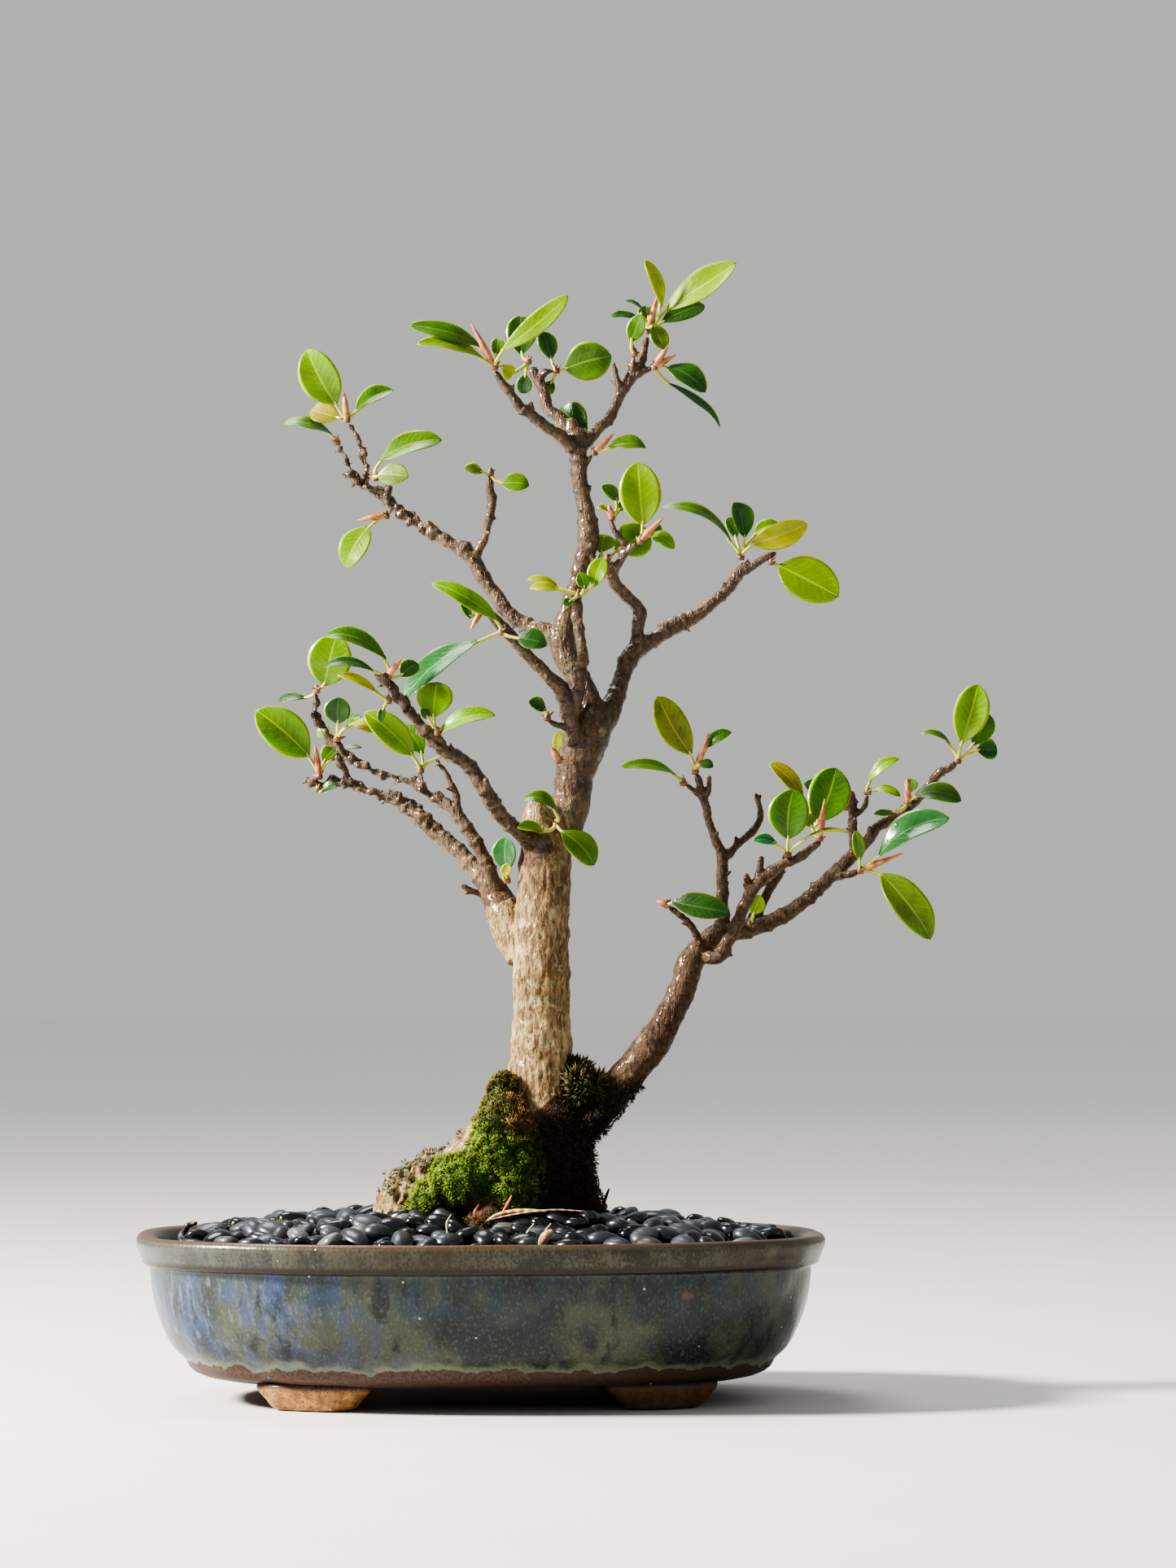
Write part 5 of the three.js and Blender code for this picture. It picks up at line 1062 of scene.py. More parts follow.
def bore_drains(pot):
    cutter = bmesh.new()
    for x in (-DRAIN_SPACING / 2, DRAIN_SPACING / 2):
        middle = Matrix.Translation((POT_MIDDLE.x + x * MM, POT_MIDDLE.y, FLOOR_TOP / 2 * MM))
        bmesh.ops.create_cone(
            cutter, cap_ends=True, segments=48, radius1=DRAIN_RADIUS * MM, radius2=DRAIN_RADIUS * MM,
            depth=FLOOR_TOP * 2 * MM, matrix=middle,
        )
    mesh = bpy.data.meshes.new("drain_cutter")
    cutter.to_mesh(mesh)
    tool = linked("drain_cutter", mesh)
    cut = pot.modifiers.new("drains", "BOOLEAN")
    cut.object = tool
    cut.operation = "DIFFERENCE"
    apply_modifiers(pot)
    bpy.data.objects.remove(tool)


def make_foot(number, turn, material):
    """A curved block with round edges that narrows towards the table."""
    rings = []
    ends = np.abs(np.linspace(-1, 1, FOOT_STEPS)) ** 6
    for share, z, pull in FOOT_LEVELS:
        half = math.radians(FOOT_SPAN / 2 - FOOT_FLARE * share) - pull * 0.012
        angles = np.linspace(turn - half, turn + half, FOOT_STEPS)
        outer_inset = BASE_INSET + FOOT_SETBACK + 3 * share + pull
        inner_inset = BASE_INSET + FOOT_WIDTH + FOOT_SETBACK - pull
        middle_inset = (outer_inset + inner_inset) / 2
        sides = []
        for inset in (outer_inset, inner_inset):
            pulled = inset + (middle_inset - inset) * 0.8 * ends
            sides.append([oval_points(one, [angle], z)[0] for one, angle in zip(pulled, angles)])
        rings.append(np.array(sides[0] + sides[1][::-1]))
    points = np.vstack(rings)
    lumps = (value_noise(points, 12, 4) * 0.4 + value_noise(points, 3, 5) * 0.15)[:, None] * MM
    points += unit((points - points.mean(axis=0)) * np.array([1, 1, 0])) * lumps * (points[:, 2:] > 0.0003)
    around = FOOT_STEPS * 2
    faces = grid_faces(len(rings), around)
    for ring, flip in ((0, False), (len(rings) - 1, True)):
        start = ring * around
        for i in range(FOOT_STEPS - 1):
            quad = [start + i, start + i + 1, start + around - 2 - i, start + around - 1 - i]
            faces.append(quad if flip else quad[::-1])
    shape = Shape()
    shape.add(points, faces)
    shape.piece(f"pot_foot_{number}", [material], "glazed_pot")


# ---------------------------------------------------------------- pebbles

PEBBLE_LOW, PEBBLE_HIGH = (np.array(corner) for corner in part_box("pebble_topping"))
PEBBLES_BELOW_RIM = 2
PEBBLE_CROWN = PEBBLE_HIGH[2] / MM - (POT_HEIGHT - PEBBLES_BELOW_RIM)
PEBBLE_DROPS = 900
PEBBLE_TRIES = 14
PEBBLE_LENGTHS = (4.6, 7.4)  # half lengths
PEBBLE_WIDTHS = (0.58, 0.84)  # shares of the length
PEBBLE_HEIGHTS = (0.42, 0.6)
PEBBLE_TO_RIM = 10.5  # from a pebble's end to the rim's outline
PEBBLE_ABOVE_DOME = 2  # the highest that a pebble's top may stand
SETTLED_SHARE = 0.8  # of a pebble's height that keeps clear of those under it
CONTACT = 0.72  # the part of its outline, squared, that rests on them
TUMBLE = 0.5  # the largest tilt, in radians
HEAP_DEPTH = 10
TRUNK_HEAP = 200  # so high that no pebble comes to lie on the trunk
TRUNK_LEVELS = (52, 74)  # where the wood goes through the layer, in the drawing
HEAP_CELL = 0.8
HEAP_MIDDLE = np.array([POT_MIDDLE.x, POT_MIDDLE.y]) / MM
HEAP_HALF = (PEBBLE_HIGH - PEBBLE_LOW)[:2] / 2 / MM


def trunk_cells(xs, ys):
    """Which cells of the heap lie inside the wood, moss left out."""
    inside = np.zeros(xs.shape, dtype=bool)
    for line in LIMBS.values():
        for x, y, z, radius in smooth_line(line, 3):
            if TRUNK_LEVELS[0] < z < TRUNK_LEVELS[1]:
                px, py, _ = placed([(x, y, z)])[0] / MM
                inside |= (xs - px) ** 2 + (ys - py) ** 2 < (radius - 1.5) ** 2
    return inside


def dome(x, y):
    """The height of the pebble layer's top."""
    shares = [np.abs((at - middle) / half) for at, middle, half in zip((x, y), HEAP_MIDDLE, HEAP_HALF)]
    reach = (shares[0] ** OVAL_POWER + shares[1] ** OVAL_POWER) ** (1 / OVAL_POWER)
    return POT_HEIGHT - PEBBLES_BELOW_RIM + PEBBLE_CROWN * (1 - np.minimum(reach, 1) ** 2)


def drop(heap, xs, ys, sizes, yaw, draw):
    """One try at dropping a pebble: how far it stands above the dome, where it lies and what it covers."""
    long = sizes[0]
    angle = draw.uniform(0, 2 * math.pi)
    share = math.sqrt(draw.uniform(0, 1))
    spot = oval_points(PEBBLE_TO_RIM + long, [angle], 0)[0][:2] / MM - HEAP_MIDDLE
    x, y = HEAP_MIDDLE + spot * share
    near_x = (np.abs(xs[0] - x) < long).nonzero()[0]
    near_y = (np.abs(ys[:, 0] - y) < long).nonzero()[0]
    window = np.ix_(near_y, near_x)
    dx, dy = xs[window] - x, ys[window] - y
    u = (dx * math.cos(yaw) + dy * math.sin(yaw)) / sizes[0]
    v = (-dx * math.sin(yaw) + dy * math.cos(yaw)) / sizes[1]
    under = sizes[2] * np.sqrt(np.maximum(1 - u**2 - v**2, 0))
    hit = u**2 + v**2 < CONTACT
    z = (heap[window] + under * SETTLED_SHARE)[hit].max()
    return z - dome(x, y), (x, y, z), window, under, hit


def make_pebbles():
    """Pebbles dropped one by one, each where it lies lowest of a few tries, up to the layer's dome."""
    draw = np.random.default_rng(7)
    cells = [np.arange(m - h, m + h, HEAP_CELL) for m, h in zip(HEAP_MIDDLE, HEAP_HALF)]
    xs, ys = np.meshgrid(*cells)
    heap = dome(xs, ys) - HEAP_DEPTH
    heap[trunk_cells(xs, ys)] = TRUNK_HEAP
    ball = bmesh.new()
    bmesh.ops.create_icosphere(ball, subdivisions=3, radius=1)
    sphere = np.array([vertex.co[:] for vertex in ball.verts])
    sphere_faces = [[vertex.index for vertex in face.verts] for face in ball.faces]
    shape = Shape()
    for _ in range(PEBBLE_DROPS):
        long = draw.uniform(*PEBBLE_LENGTHS)
        sizes = np.array([long, long * draw.uniform(*PEBBLE_WIDTHS), long * draw.uniform(*PEBBLE_HEIGHTS)])
        yaw = draw.uniform(0, math.pi)
        tries = [drop(heap, xs, ys, sizes, yaw, draw) for _ in range(PEBBLE_TRIES)]
        above, place, window, under, hit = min(tries, key=lambda one: one[0])
        if above + sizes[2] > PEBBLE_ABOVE_DOME:
            continue
        heap[window] = np.where(hit, np.maximum(heap[window], place[2] + under), heap[window])
        tilts = [Matrix.Rotation(draw.uniform(-TUMBLE, TUMBLE), 3, axis) for axis in "XY"]
        turn = np.array(Matrix.Rotation(yaw, 3, "Z") @ tilts[0] @ tilts[1])
        lumps = np.array([noise.noise(Vector(point) * 1.1 + Vector(place)) for point in sphere])
        squared = np.sign(sphere) * np.abs(sphere) ** 0.9
        stone = (squared * (1 + 0.08 * lumps)[:, None] * sizes) @ turn.T + np.array(place)
        shade = draw.uniform(0, 1) ** 1.5
        tint = draw.uniform(0, 1)
        shape.add(stone * MM, sphere_faces, 0, np.tile([shade, tint, 0], (len(stone), 1)))
    shape.piece("pebbles", [pebble_material()], "pebbles", ["pebble_topping"])


# ---------------------------------------------------------------- wood

WOOD_VOXEL = 0.5
WOOD_STEP = 0.8
THICKNESSES = (2, 9)  # radii of the thinnest twigs and of the thick wood
TWIG_RADIUS = 5.5  # thinner wood wanders and has knots and nubs
WET_ABOVE = 225  # height where the bark turns dark and glossy, in the drawing
WET_FADE = 60  # how far below that it begins to
PALENESS = {
    "old_trunk_cut": 0.75, "left_root": 0.9, "front_root": 0.15, "right_root": 0.05, "back_root": 0.5,
    "right_trunk": 0.06,
}
TWIG_PALENESS = 0.12
PALENESS_BY_HEIGHT = {
    "trunk": ([60, 85, 108, 135, 160, 205, 225], [0.3, 0.5, 1, 0.95, 0.75, 0.4, 0.1]),
    "left_limb": ([160, 178, 200], [1, 0.75, 0.15]),
}
AERIAL_ROOT = [
    (33, -9, 96, 1.0), (36, -12, 98.5, 0.8), (40, -12, 101, 0.7), (43, -11, 105, 0.6), (43, -9, 110, 0.5),
    (41, -7, 113, 0.4),
]


def paleness(name, height):
    """How pale the bark is, from 0 on young wood to 1 on old."""
    if name in PALENESS_BY_HEIGHT:
        return np.interp(height, *PALENESS_BY_HEIGHT[name])
    return PALENESS.get(name, TWIG_PALENESS)


def grow_limb(shape, number, name, line, draw):
    """Adds one limb with its knots and nubs, and gives its centre line with the radius at each point."""
    fine = smooth_line(line, WOOD_STEP)
    radii = fine[:, 3].copy()
    length = lengths_along(fine[:, :3])
    twig = np.clip((TWIG_RADIUS - radii) / 3, 0, 1) * (name != "aerial_root")
    wander = [
        [noise.noise(Vector((along * 0.16, number * 3.3, axis * 9))) for axis in range(3)]
        for along in length
    ]
    settled = np.clip(length / 8, 0, 1) * np.clip((length[-1] - length) / 5, 0, 1)
    fine[:, :3] += np.array(wander) * 0.75 * settled[:, None] * twig[:, None]
    knot = draw.uniform(2, 4)
    while knot < length[-1]:
        radii *= 1 + swell(length, 1, knot, 0.7) * twig * draw.uniform(0.06, 0.32)
        knot += draw.uniform(3, 8)
    radii *= 1 + 0.07 * np.array([noise.noise(Vector((s * 0.2, number * 1.7, 0))) for s in length])
    points, faces = tube(fine[:, :3], radii, 28 if radii.max() > 6 else 16)
    shape.add(placed(points), faces)
    add_nubs(shape, fine, radii, twig, draw)
    return fine, radii


def wood_relief(points, thick, height, across):
    """How far the bark stands out at each point, in millimetres."""
    grain = points * [1, 1, 0.3]
    lumps = value_noise(points, 4.5, 6)
    relief = thick * (0.4 * value_noise(grain, 1.6, 5) + 0.4 * lumps) + (1 - thick) * 0.25 * lumps
    relief += 0.16 * value_noise(points, 1.1, 7)
    foot = between(height, 114, 100)
    relief += foot * thick * (0.9 * value_noise(points, 7, 8) + 0.5 * value_noise(points, 3, 10))
    broken_end = between(across, -8, -20) * (height > 60)
    jags = 2.6 * np.abs(value_noise(points, 6, 14)) + 1.5 * value_noise(points, 2.6, 15)
    return relief + broken_end * (jags - 0.9)


def wood_soil_and_shade(points, drawn, normals, blotches):
    """Where soil, dead moss and painted shade darken the wood: the trunk's foot on its right, partly soil
    and partly painted shade, and the left root's top.
    """
    x, _, z = drawn.T
    # painted shade, partly soil: the trunk's foot darkened on its right, away from the light
    right_side = np.clip((x - 10 - 0.5 * (z - 85)) / 9 + 0.5 * blotches, 0, 1)
    soil_and_shade = right_side * np.clip((116 - z) / 10 + 0.5 * blotches, 0, 1)
    soil_and_shade = np.maximum(soil_and_shade, between(z, 70, 62) * (x > -5))
    crust = np.clip(2.5 * value_noise(points, 5, 16) + 0.2, 0, 1) * (normals[:, 2] > 0)
    crust *= between(z, 75, 79) * between(z, 100, 94) * between(x, 3, -1)
    return np.maximum(soil_and_shade, 0.8 * crust)


def make_wood():
    """The tree's wood as one skin; gives its points, normals, points in the drawing and its mark of soil
    and painted shade.
    """
    draw = random.Random(11)
    shape = Shape()
    facts = []
    places = []
    for number, (name, line) in enumerate({**LIMBS, "aerial_root": AERIAL_ROOT}.items()):
        fine, radii = grow_limb(shape, number, name, line, draw)
        places += list(placed(fine[:, :3]))
        facts += [(radius, paleness(name, z), z, x) for (x, _, z, _), radius in zip(fine, radii)]
    tree = kdtree.KDTree(len(places))
    for index, place in enumerate(places):
        tree.insert(Vector(place), index)
    tree.balance()
    rough = bpy.data.meshes.new("rough_wood")
    rough.from_pydata(np.vstack(shape.points).tolist(), [], shape.faces)
    mesh, points, normals = melted(rough, WOOD_VOXEL, 0.5, 2)
    nearest = [tree.find(Vector(point))[1] for point in points]
    radius, pale, height, across = np.array(facts)[nearest].T
    thick = between(radius, *THICKNESSES)
    points = points + normals * (wood_relief(points, thick, height, across) * MM)[:, None]
    mesh.vertices.foreach_set("co", points.ravel())
    drawn = undrawn(points)
    blotches = value_noise(points, 14, 9)
    soil_and_shade = wood_soil_and_shade(points, drawn, normals, blotches)
    wet = np.clip((height - WET_ABOVE + WET_FADE) / WET_FADE, 0.3, 1) * (1 - 0.5 * thick)
    marks = [np.clip(pale + 0.15 * blotches, 0, 1), thick, np.where(soil_and_shade > 0.05, -soil_and_shade, wet)]
    write_marks(mesh, np.column_stack(marks))
    finish_piece("wood", mesh, [bark_material()], ["tree_wood"])
    return points, normals, drawn, soil_and_shade


def add_nubs(shape, fine, radii, twig, draw):
    """Dormant buds, leaf scars and broken stipules on the twigs."""
    tangents = unit(np.gradient(fine[:, :3], axis=0))
    step = 4
    while step < len(fine) - 2:
        if twig[step] > 0.25 and radii[step] > 0.8:
            aside = unit(np.cross(tangents[step], [draw.uniform(-1, 1) for _ in range(3)]))
            start = fine[step, :3] + aside * radii[step] * 0.6
            reach = draw.uniform(1.0, 2.6)
            end = start + (aside + tangents[step] * 0.7) * reach
            points, faces = tube([start, (start + end) / 2, end], [0.95, 0.7, 0.3], 8)
            shape.add(placed(points), faces)
        step += draw.randint(4, 12)


# ---------------------------------------------------------------- leaves

LEAF_ROWS = 26
LEAF_COLUMNS = 12
LEAF_THICK = 0.34
BLADE_FOOT = 0.62  # half the blade's width where the stalk meets it
STALK_RADII = (0.85, 0.68, 0.55)
SLOT_STALK, SLOT_BUD, SLOT_SCALE, SLOT_BLADES = range(4)  # the shoot's material slots


def facing_of(one):
    turn = math.radians(one["right"])
    lift = math.radians(one["up"])
    return np.array([math.sin(turn) * math.cos(lift), -math.cos(turn) * math.cos(lift), math.sin(lift)])


def add_blade(shape, one, material, draw):
    base, tip = np.array(one["base"], dtype=float), np.array(one["tip"], dtype=float)
    span = tip - base
    length = np.linalg.norm(span)
    along = unit(span)
    side = unit(np.cross(along, facing_of(one)))
    out = np.cross(side, along)
    fold = draw.uniform(0.1, 0.34)
    sway = draw.uniform(-0.05, 0.05) * length
    wave = draw.uniform(0.1, 0.5)
    phase = draw.uniform(0, 6)
    fullness = draw.uniform(0.92, 1.14)
    curl = draw.uniform(-0.09, 0.03) * length
    rows = np.linspace(0, 1, LEAF_ROWS)
    columns = np.linspace(-1, 1, LEAF_COLUMNS + 1)
    sheets, marks = [], []
    chance = draw.random()
    for upper in (True, False):
        for t in rows:
            rounded = (1 - abs(2 * t**fullness - 1) ** 2.2) ** 0.64 * (1 - 0.4 * (1 - t) ** 5)
            half = max(one["width"] / 2 * rounded, BLADE_FOOT * (1 - t) ** 2 + 0.05)
            rise = 4 * one["arch"] * t * (1 - t) * length + curl * max(t - 0.7, 0) ** 2 * 11
            centre = base + span * t + out * rise + side * sway * math.sin(math.pi * t)
            for u in columns:
                ripple = wave * math.sin(t * 9 + phase + 2 * u) * abs(u) * half * 0.14
                lift = fold * abs(u) ** 1.5 * half + ripple
                thin = LEAF_THICK * (1 - 0.75 * u * u)
                rib = 0.3 * math.exp(-((u * half / 0.5) ** 2)) * (1 - 0.7 * t)
                offset = lift + (thin / 2 if upper else -thin / 2 - rib)
                if abs(u) == 1:
                    offset = lift
                sheets.append(centre + side * u * half + out * offset)
                marks.append((u, t, chance))
    points = np.array(sheets)
    width = LEAF_COLUMNS + 1
    size = LEAF_ROWS * width
    faces = grid_faces(LEAF_ROWS, width, 0, False, True) + grid_faces(LEAF_ROWS, width, size, False)
    merged = {}
    for row in range(LEAF_ROWS):
        for column in (0, width - 1):
            merged[size + row * width + column] = row * width + column
    faces = [[merged.get(index, index) for index in face] for face in faces]
    for row in (0, LEAF_ROWS - 1):
        top = [row * width + i for i in range(width)]
        low = [size + row * width + i for i in range(1, width - 1)]
        cap = top + low[::-1]
        faces.append(cap[::-1] if row else cap)
    used = sorted({index for face in faces for index in face})
    renumber = {old: new for new, old in enumerate(used)}
    faces = [[renumber[index] for index in face] for face in faces]
    shape.add(placed(points[used]), faces, material, np.array(marks)[used])


def add_stalk(shape, start, end, along, draw):
    start, end = np.array(start, dtype=float), np.array(end, dtype=float)
    middle = (start + end) / 2 - along * np.linalg.norm(end - start) * 0.12 + np.array([0, 0, -0.3])
    places = (start, middle, end + along * 1.2)
    line = smooth_line([(*place, radius) for place, radius in zip(places, STALK_RADII)], 0.8)
    points, faces = tube(line[:, :3], line[:, 3], 10)
    shape.add(placed(points), faces, SLOT_STALK, np.tile([0, 0, draw.random()], (len(points), 1)))


def add_bud(shape, start, tip):
    start, tip = np.array(start, dtype=float), np.array(tip, dtype=float)
    shares = np.linspace(0, 1, 12)
    bend = np.array([0, -0.6, 0])
    centres = start + np.outer(shares, tip - start) + np.outer(np.sin(shares * math.pi), bend)
    radii = 0.12 + 1.15 * np.sin(np.pi * (0.12 + 0.88 * shares) ** 0.75) ** 0.9
    points, faces = tube(centres, np.maximum(radii, 0.12), 12)
    shape.add(placed(points), faces, SLOT_BUD)


def add_scales(shape, at, draw):
    """The swollen node and the dry bud scales at the foot of a shoot."""
    at = np.array(at, dtype=float)
    line = [at + np.array([0, 0, -1.3]), at, at + np.array([0, 0, 1.2])]
    points, faces = tube(line, [1.2, 1.45, 0.8], 12)
    shape.add(placed(points), faces, SLOT_SCALE)
    for _ in range(3):
        away = unit(np.array([draw.uniform(-1, 1), draw.uniform(-1, 1), draw.uniform(0, 1)]))
        end = at + away * draw.uniform(2.2, 3.4)
        points, faces = tube([at, (at + end) / 2, end], [0.6, 0.5, 0.12], 6)
        shape.add(placed(points), faces, SLOT_SCALE)


def make_shoots():
    stalks = stalk_material("leaf_stalk", (0.3, 0.4, 0.05), (0.5, 0.45, 0.1))
    buds = stalk_material("leaf_bud", (0.36, 0.1, 0.065), (0.5, 0.26, 0.11))
    scales = stalk_material("bud_scale", (0.11, 0.05, 0.025), (0.25, 0.13, 0.06))
    tones = {tone: leaf_material(tone) for tone in LEAF_TONES}
    names = list(LEAF_TONES)
    for number, (name, (at, leaves, tips)) in enumerate(SHOOTS.items()):
        draw = random.Random(100 + number)
        shape = Shape()
        add_scales(shape, at, draw)
        for one in leaves:
            along = unit(np.subtract(one["tip"], one["base"]).astype(float))
            add_stalk(shape, at, one["base"], along, draw)
            add_blade(shape, one, SLOT_BLADES + names.index(one["tone"]), draw)
        for tip in tips:
            add_bud(shape, at, tip)
        materials = [stalks, buds, scales, *tones.values()]
        shape.piece(f"leaves_{name}", materials, "leaves", [f"shoot_{name}"])


# ---------------------------------------------------------------- moss and litter

TUFT_COUNT = {"front": 9000, "right": 900}
CRUMB_COUNT = 2600
LICHEN_COUNT = 620
PATCH_COUNT = 420
PATCH_PLACE = (-74, -8, 61)
PATCH_SPREAD = (5, 5, 0.8)
TUFT_SIZE = {"front": 1.0, "right": 2.1}
CLUMP_BRIGHTNESS = {"front": 0.75, "right": 0.15}
CLUMP_SIZE = 2.2
MOSS_INSET = 0.7  # of a lump's ball, to leave room for the tufts


def moss_colour(drawn, draw):
    """Greenness and brightness of moss at a point of the drawing; the brightness falls towards the right,
    which is painted shade.
    """
    x, _, z = drawn
    rusty = np.interp(x, [7, 12], [0, 1]) * np.interp(z, [92, 99], [0, 1])
    green = 1 - rusty + draw.gauss(0, 0.16)
    bright = np.interp(z, [60, 68, 78, 88, 98, 112], [0.15, 0.55, 0.85, 0.7, 0.45, 0.2])
    # painted shade: the moss darker towards the right, away from the light
    bright *= np.interp(x, [-25, 6, 16, 25], [1, 1, 0.75, 0.2])
    if rusty > 0.5:
        # painted shade: the rusty moss also darker towards the right
        bright = np.interp(x, [8, 12, 19, 24], [0.4, 0.8, 0.7, 0.1])
        bright *= np.interp(z, [90, 98, 112], [0.5, 1, 0.5])
    elif z > 100:
        green = 0.62 + draw.gauss(0, 0.2)
    if x > 27:
        green = 0.5 + draw.gauss(0, 0.25)
        bright = 0.05
    return min(max(green, 0), 1), min(max(bright + draw.gauss(0, 0.26), 0), 1)


def moss_skin(name, lumps):
    """A cushion's faces, points and normals: its lumps as one skin, with hollows and knobs."""
    rough = bmesh.new()
    for x, y, z, radius in lumps:
        place = Matrix.Translation(Vector(placed([(x, y, z)])[0]))
        bmesh.ops.create_icosphere(rough, subdivisions=4, radius=(radius - MOSS_INSET) * MM, matrix=place)
    mesh = bpy.data.meshes.new(f"rough_moss_{name}")
    rough.to_mesh(mesh)
    mesh, points, normals = melted(mesh, 1.0, 0.6, 22)
    relief = 2.2 * value_noise(points, 10, 12) + 1.5 * value_noise(points, 3.8, 13)
    relief += 0.8 * value_noise(points, 2, 17) - 0.6
    faces = [list(face.vertices) for face in mesh.polygons]
    return faces, points + normals * (relief * MM)[:, None], normals


def make_moss(wood):
    draw = random.Random(5)
    material = moss_material()
    for name, lumps in MOSS.items():
        faces, points, normals = moss_skin(name, lumps)
        drawn = undrawn(points)
        marks = [(*moss_colour(place, draw), 0) for place in drawn]
        shape = Shape()
        shape.add(points, faces, 0, np.array(marks) * [1, 0.3, 0])
        for pick in draw.choices(range(len(points)), k=TUFT_COUNT[name]):
            clump = noise.noise(Vector(points[pick]) / (CLUMP_SIZE * MM))
            green, bright = moss_colour(drawn[pick], draw)
            bright = min(max(bright + CLUMP_BRIGHTNESS[name] * clump, 0), 1)
            size = TUFT_SIZE[name] * (1 + 0.6 * clump)
            add_tuft(shape, points[pick], normals[pick], (green, bright, 0), size, draw)
        if name == "front":
            add_crumbs(shape, wood, draw)
            add_lichen(shape, wood, draw)
            add_patch(shape, draw)
        shape.piece(f"moss_cushion_{name}", [material], "moss", [f"moss_{name}"])


def add_crumbs(shape, wood, draw):
    """Dead moss and rootlets on the trunk's foot, where the wood is darkened by soil and painted shade."""
    points, normals, drawn, soil_and_shade = wood
    darkened_points = [i for i in np.nonzero(soil_and_shade > 0.35)[0] if 62 < drawn[i][2] < 118]
    for pick in draw.choices(darkened_points, k=CRUMB_COUNT):
        brown = (draw.uniform(0, 0.25), draw.uniform(0, 0.22), 0)
        add_tuft(shape, points[pick], normals[pick], brown, draw.uniform(0.7, 1.4), draw)


def add_lichen(shape, wood, draw):
    """Lichen and dark crumbs on the broken end of the left root."""
    points, normals, drawn, _ = wood
    x, _, z = drawn.T
    broken_end = (x < -14) & (74 < z) & (z < 100) & (normals[:, 2] > 0.3)
    top = [i for i in range(0, len(points), 3) if broken_end[i]]
    for pick in draw.choices(top, k=LICHEN_COUNT):
        if noise.noise(Vector(points[pick]) / (5 * MM)) < -0.05:
            continue
        pale = draw.random() < 0.7
        crumb = (0.6, 0.3, draw.uniform(0.5, 1)) if pale else (0.2, draw.uniform(0, 0.2), 0)
        add_tuft(shape, points[pick], normals[pick], crumb, draw.uniform(0.6, 1.2), draw)


def add_patch(shape, draw):
    """A small cushion of moss among the pebbles."""
    for _ in range(PATCH_COUNT):
        spot = [middle + draw.gauss(0, spread) for middle, spread in zip(PATCH_PLACE, PATCH_SPREAD)]
        place = placed([spot])[0]
        add_tuft(shape, place, np.array([0, 0, 1.0]), (1, draw.uniform(0.5, 1), 0), 1.2, draw)


def add_tuft(shape, place, normal, colour, size, draw):
    """A tiny moss plant: a star of pointed leaves round a short stem."""
    height = draw.uniform(0.9, 2.3) * size * MM
    lean = unit(normal + np.array([draw.gauss(0, 0.35), draw.gauss(0, 0.35), draw.gauss(0.25, 0.3)]))
    side = unit(np.cross(lean, [0.3, 0.5, 0.81]))
    other = np.cross(lean, side)
    points, faces = [], []
    for leaflet in range(5):
        angle = leaflet * 1.26 + draw.uniform(0, 1)
        away = side * math.cos(angle) + other * math.sin(angle)
        across = np.cross(away, lean)
        foot = place + lean * height * 0.2
        end = foot + lean * height * 0.7 + away * height * draw.uniform(0.35, 0.75)
        wide = 0.19 * size * MM
        first = len(points)
        belly = (foot + end) / 2 + away * 0.12 * size * MM
        points += [foot, belly + across * wide, end, belly - across * wide, belly - away * 0.16 * size * MM]
        sides = ((0, 1, 4), (1, 2, 4), (2, 3, 4), (3, 0, 4), (0, 3, 2, 1))
        faces += [[first + index for index in face] for face in sides]
    shape.add(points, faces, 0, np.tile(colour, (len(points), 1)))


SPROUT = ((0.4, 0.45, 0.2), (0.5, 0.55, 0.25))
LITTER = {  # the two colours, thickness and points of each bit
    "dry_stalk": (
        ((0.38, 0.2, 0.07), (0.6, 0.38, 0.16)), 0.75,
        [(3, -50, 66), (7, -52, 68.5), (14, -54, 70), (24, -56, 70)],
    ),
    "dry_wisp": (
        ((0.3, 0.2, 0.1), (0.45, 0.32, 0.18)), 0.35,
        [(5, -53, 67), (14, -56, 69), (27, -58, 70.5), (38, -58, 70)],
    ),
    "orange_sliver": (
        ((0.5, 0.13, 0.04), (0.6, 0.2, 0.06)), 0.6,
        [(8, -48, 67.5), (10, -49, 71), (12, -50, 75)],
    ),
    "red_curl": (
        ((0.3, 0.06, 0.04), (0.45, 0.12, 0.07)), 0.5,
        [(1, -50, 66), (-1, -51, 69), (0.5, -50, 72)],
    ),
    "tan_chip": (
        ((0.26, 0.15, 0.09), (0.4, 0.26, 0.15)), 1.8,
        [(22.5, -80, 59), (24, -81, 62), (26, -82, 64)],
    ),
    "bark_chip": (
        ((0.012, 0.01, 0.008), (0.04, 0.03, 0.022)), 1.2,
        [(-103, -28, 59), (-105, -28, 61), (-104, -29, 63.5), (-101, -30, 64.5)],
    ),
    "twiglet": (
        ((0.03, 0.015, 0.01), (0.08, 0.04, 0.025)), 0.6,
        [(44, -14, 68), (45, -15, 72), (46.5, -16, 76)],
    ),
    "rootlet": (
        ((0.1, 0.07, 0.04), (0.2, 0.14, 0.08)), 0.25,
        [(41, -14, 72), (43, -15, 78), (41, -16, 84)],
    ),
    "sprout_left": (SPROUT, 0.35, [(-10, -62, 61), (-10.5, -62, 66), (-9, -62, 69)]),
    "sprout_right": (SPROUT, 0.4, [(23, -66, 61), (24.5, -66, 64), (26, -66, 66)]),
    "sprout_middle": (SPROUT, 0.35, [(16, -66, 61), (18.5, -66, 64), (20, -66, 66)]),
}


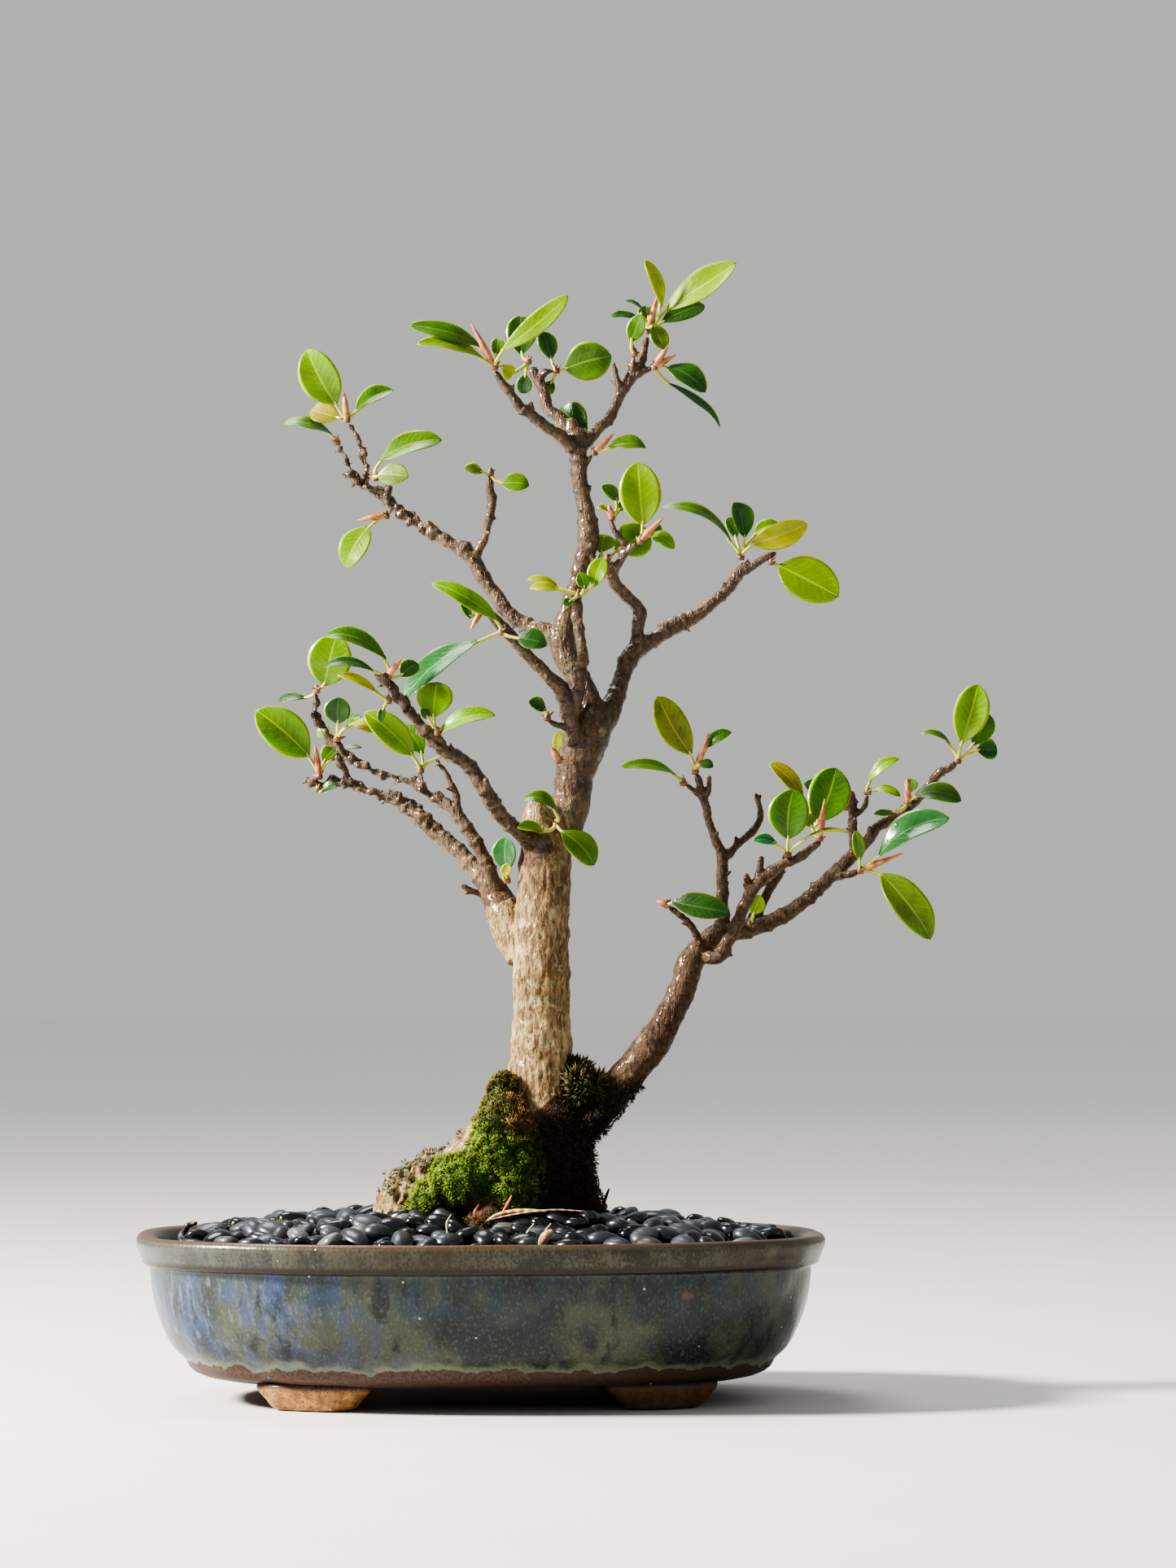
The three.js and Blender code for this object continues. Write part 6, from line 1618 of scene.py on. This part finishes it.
def make_litter():
    """Bits of dry plant and small sprouts on the pebbles."""
    for name, (colours, thick, line) in LITTER.items():
        fine = smooth_line(line, 0.5)
        shares = np.linspace(0, 1, len(fine))
        radii = thick * (0.35 + 0.65 * np.sin(math.pi * (0.1 + 0.8 * shares)))
        points, faces = tube(fine, radii, 10)
        points[:, 1] += 0.2 * np.sin(points[:, 0] * 2)
        shape = Shape()
        shape.add(placed(points), faces)
        shape.piece(name, [stalk_material(name, *colours)], "leaves" if colours is SPROUT else "bark")


# ---------------------------------------------------------------- carried-over nodes


def dress_nodes():
    soil = granular_material("soil", (0.012, 0.008, 0.005), (0.06, 0.04, 0.025), 2.2, 0.95, 1.2)
    screen = granular_material("screen_plastic", (0.006, 0.006, 0.006), (0.02, 0.021, 0.02), 1.0, 0.5, 0.1)
    looks = {"soil": soil, "drainage_screen_left": screen, "drainage_screen_right": screen}
    for name, material in looks.items():
        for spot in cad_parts[name].material_slots:
            spot.link = "OBJECT"
            spot.material = material


# ---------------------------------------------------------------- stage

CAMERA_LENS = 113.53  # millimetres, over a sensor SENSOR_HEIGHT high
SENSOR_HEIGHT = 36
CAMERA_BACK = 1.8  # metres from the pot's middle
CAMERA_HIGH = 0.15
CAMERA_ASIDE = 0.039  # the view's middle, to the right of the pot's
CAMERA_TILT = math.radians(2.31)
FLOOR_HALF = 20.0
LIGHTS = {  # place, size, power and colour
    "key": ((-1.5, -0.25, 1.0), 0.35, 120, (1.0, 0.95, 0.87)),
    "top": ((-0.4, 0.7, 1.6), 0.8, 12, (1.0, 1.0, 1.0)),
    "fill": ((1.4, -1.4, 0.7), 1.2, 2.5, (0.92, 0.96, 1.0)),
}
LIT_POINT = (0.0, 0.0, 0.2)
WORLD_COLOUR = (0.84, 0.84, 0.82, 1)
WORLD_STRENGTH = 0.5


def make_camera():
    forward = Vector((-math.sin(TREE_TURN), math.cos(TREE_TURN), 0))
    right = Vector((math.cos(TREE_TURN), math.sin(TREE_TURN), 0))
    data = bpy.data.cameras.new("camera")
    data.sensor_fit = "VERTICAL"
    data.sensor_height = SENSOR_HEIGHT
    data.lens = CAMERA_LENS
    data.clip_start = 0.05
    camera = linked("camera", data)
    place = Vector((POT_MIDDLE.x, POT_MIDDLE.y, CAMERA_HIGH)) + right * CAMERA_ASIDE - forward * CAMERA_BACK
    camera.matrix_world = (
        Matrix.Translation(place)
        @ Matrix.Rotation(TREE_TURN, 4, "Z")
        @ Matrix.Rotation(math.radians(90) + CAMERA_TILT, 4, "X")
    )
    bpy.context.scene.camera = camera


def make_light(name, place, size, power, colour):
    data = bpy.data.lights.new(name, "AREA")
    data.shape = "DISK"
    data.size = size
    data.energy = power
    data.color = colour
    light = linked(name, data)
    light.location = place
    light.rotation_euler = (Vector(LIT_POINT) - Vector(place)).to_track_quat("-Z", "Y").to_euler()


def make_floor():
    n = Nodes("floor")
    away = n.make("ShaderNodeVectorMath", {"operation": "LENGTH"}, _0=n.place).outputs["Value"]
    colour = n.mix(n.noise(60, 2), (0.62, 0.61, 0.59), (0.66, 0.65, 0.63))
    colour = n.layer(colour, (0.97, 0.97, 0.97), n.ramp(away, 0.7, 3.5))
    mesh = bpy.data.meshes.new("floor")
    corners = [(FLOOR_HALF * x, FLOOR_HALF * y, 0) for x, y in ((-1, -1), (1, -1), (1, 1), (-1, 1))]
    mesh.from_pydata(corners, [], [(0, 1, 2, 3)])
    mesh.materials.append(n.finish(colour, 0.7))
    floor = linked("floor", mesh)


def make_world():
    world = bpy.data.worlds.new("studio")
    bpy.context.scene.world = world
    world.use_nodes = True
    background = world.node_tree.nodes["Background"]
    background.inputs["Color"].default_value = WORLD_COLOUR
    background.inputs["Strength"].default_value = WORLD_STRENGTH
    bpy.context.scene.view_settings.look = "AgX - High Contrast"


make_camera()
make_floor()
make_world()
for light, settings in LIGHTS.items():
    make_light(light, *settings)
dress_nodes()
make_pot()
make_pebbles()
make_moss(make_wood())
make_shoots()
make_litter()
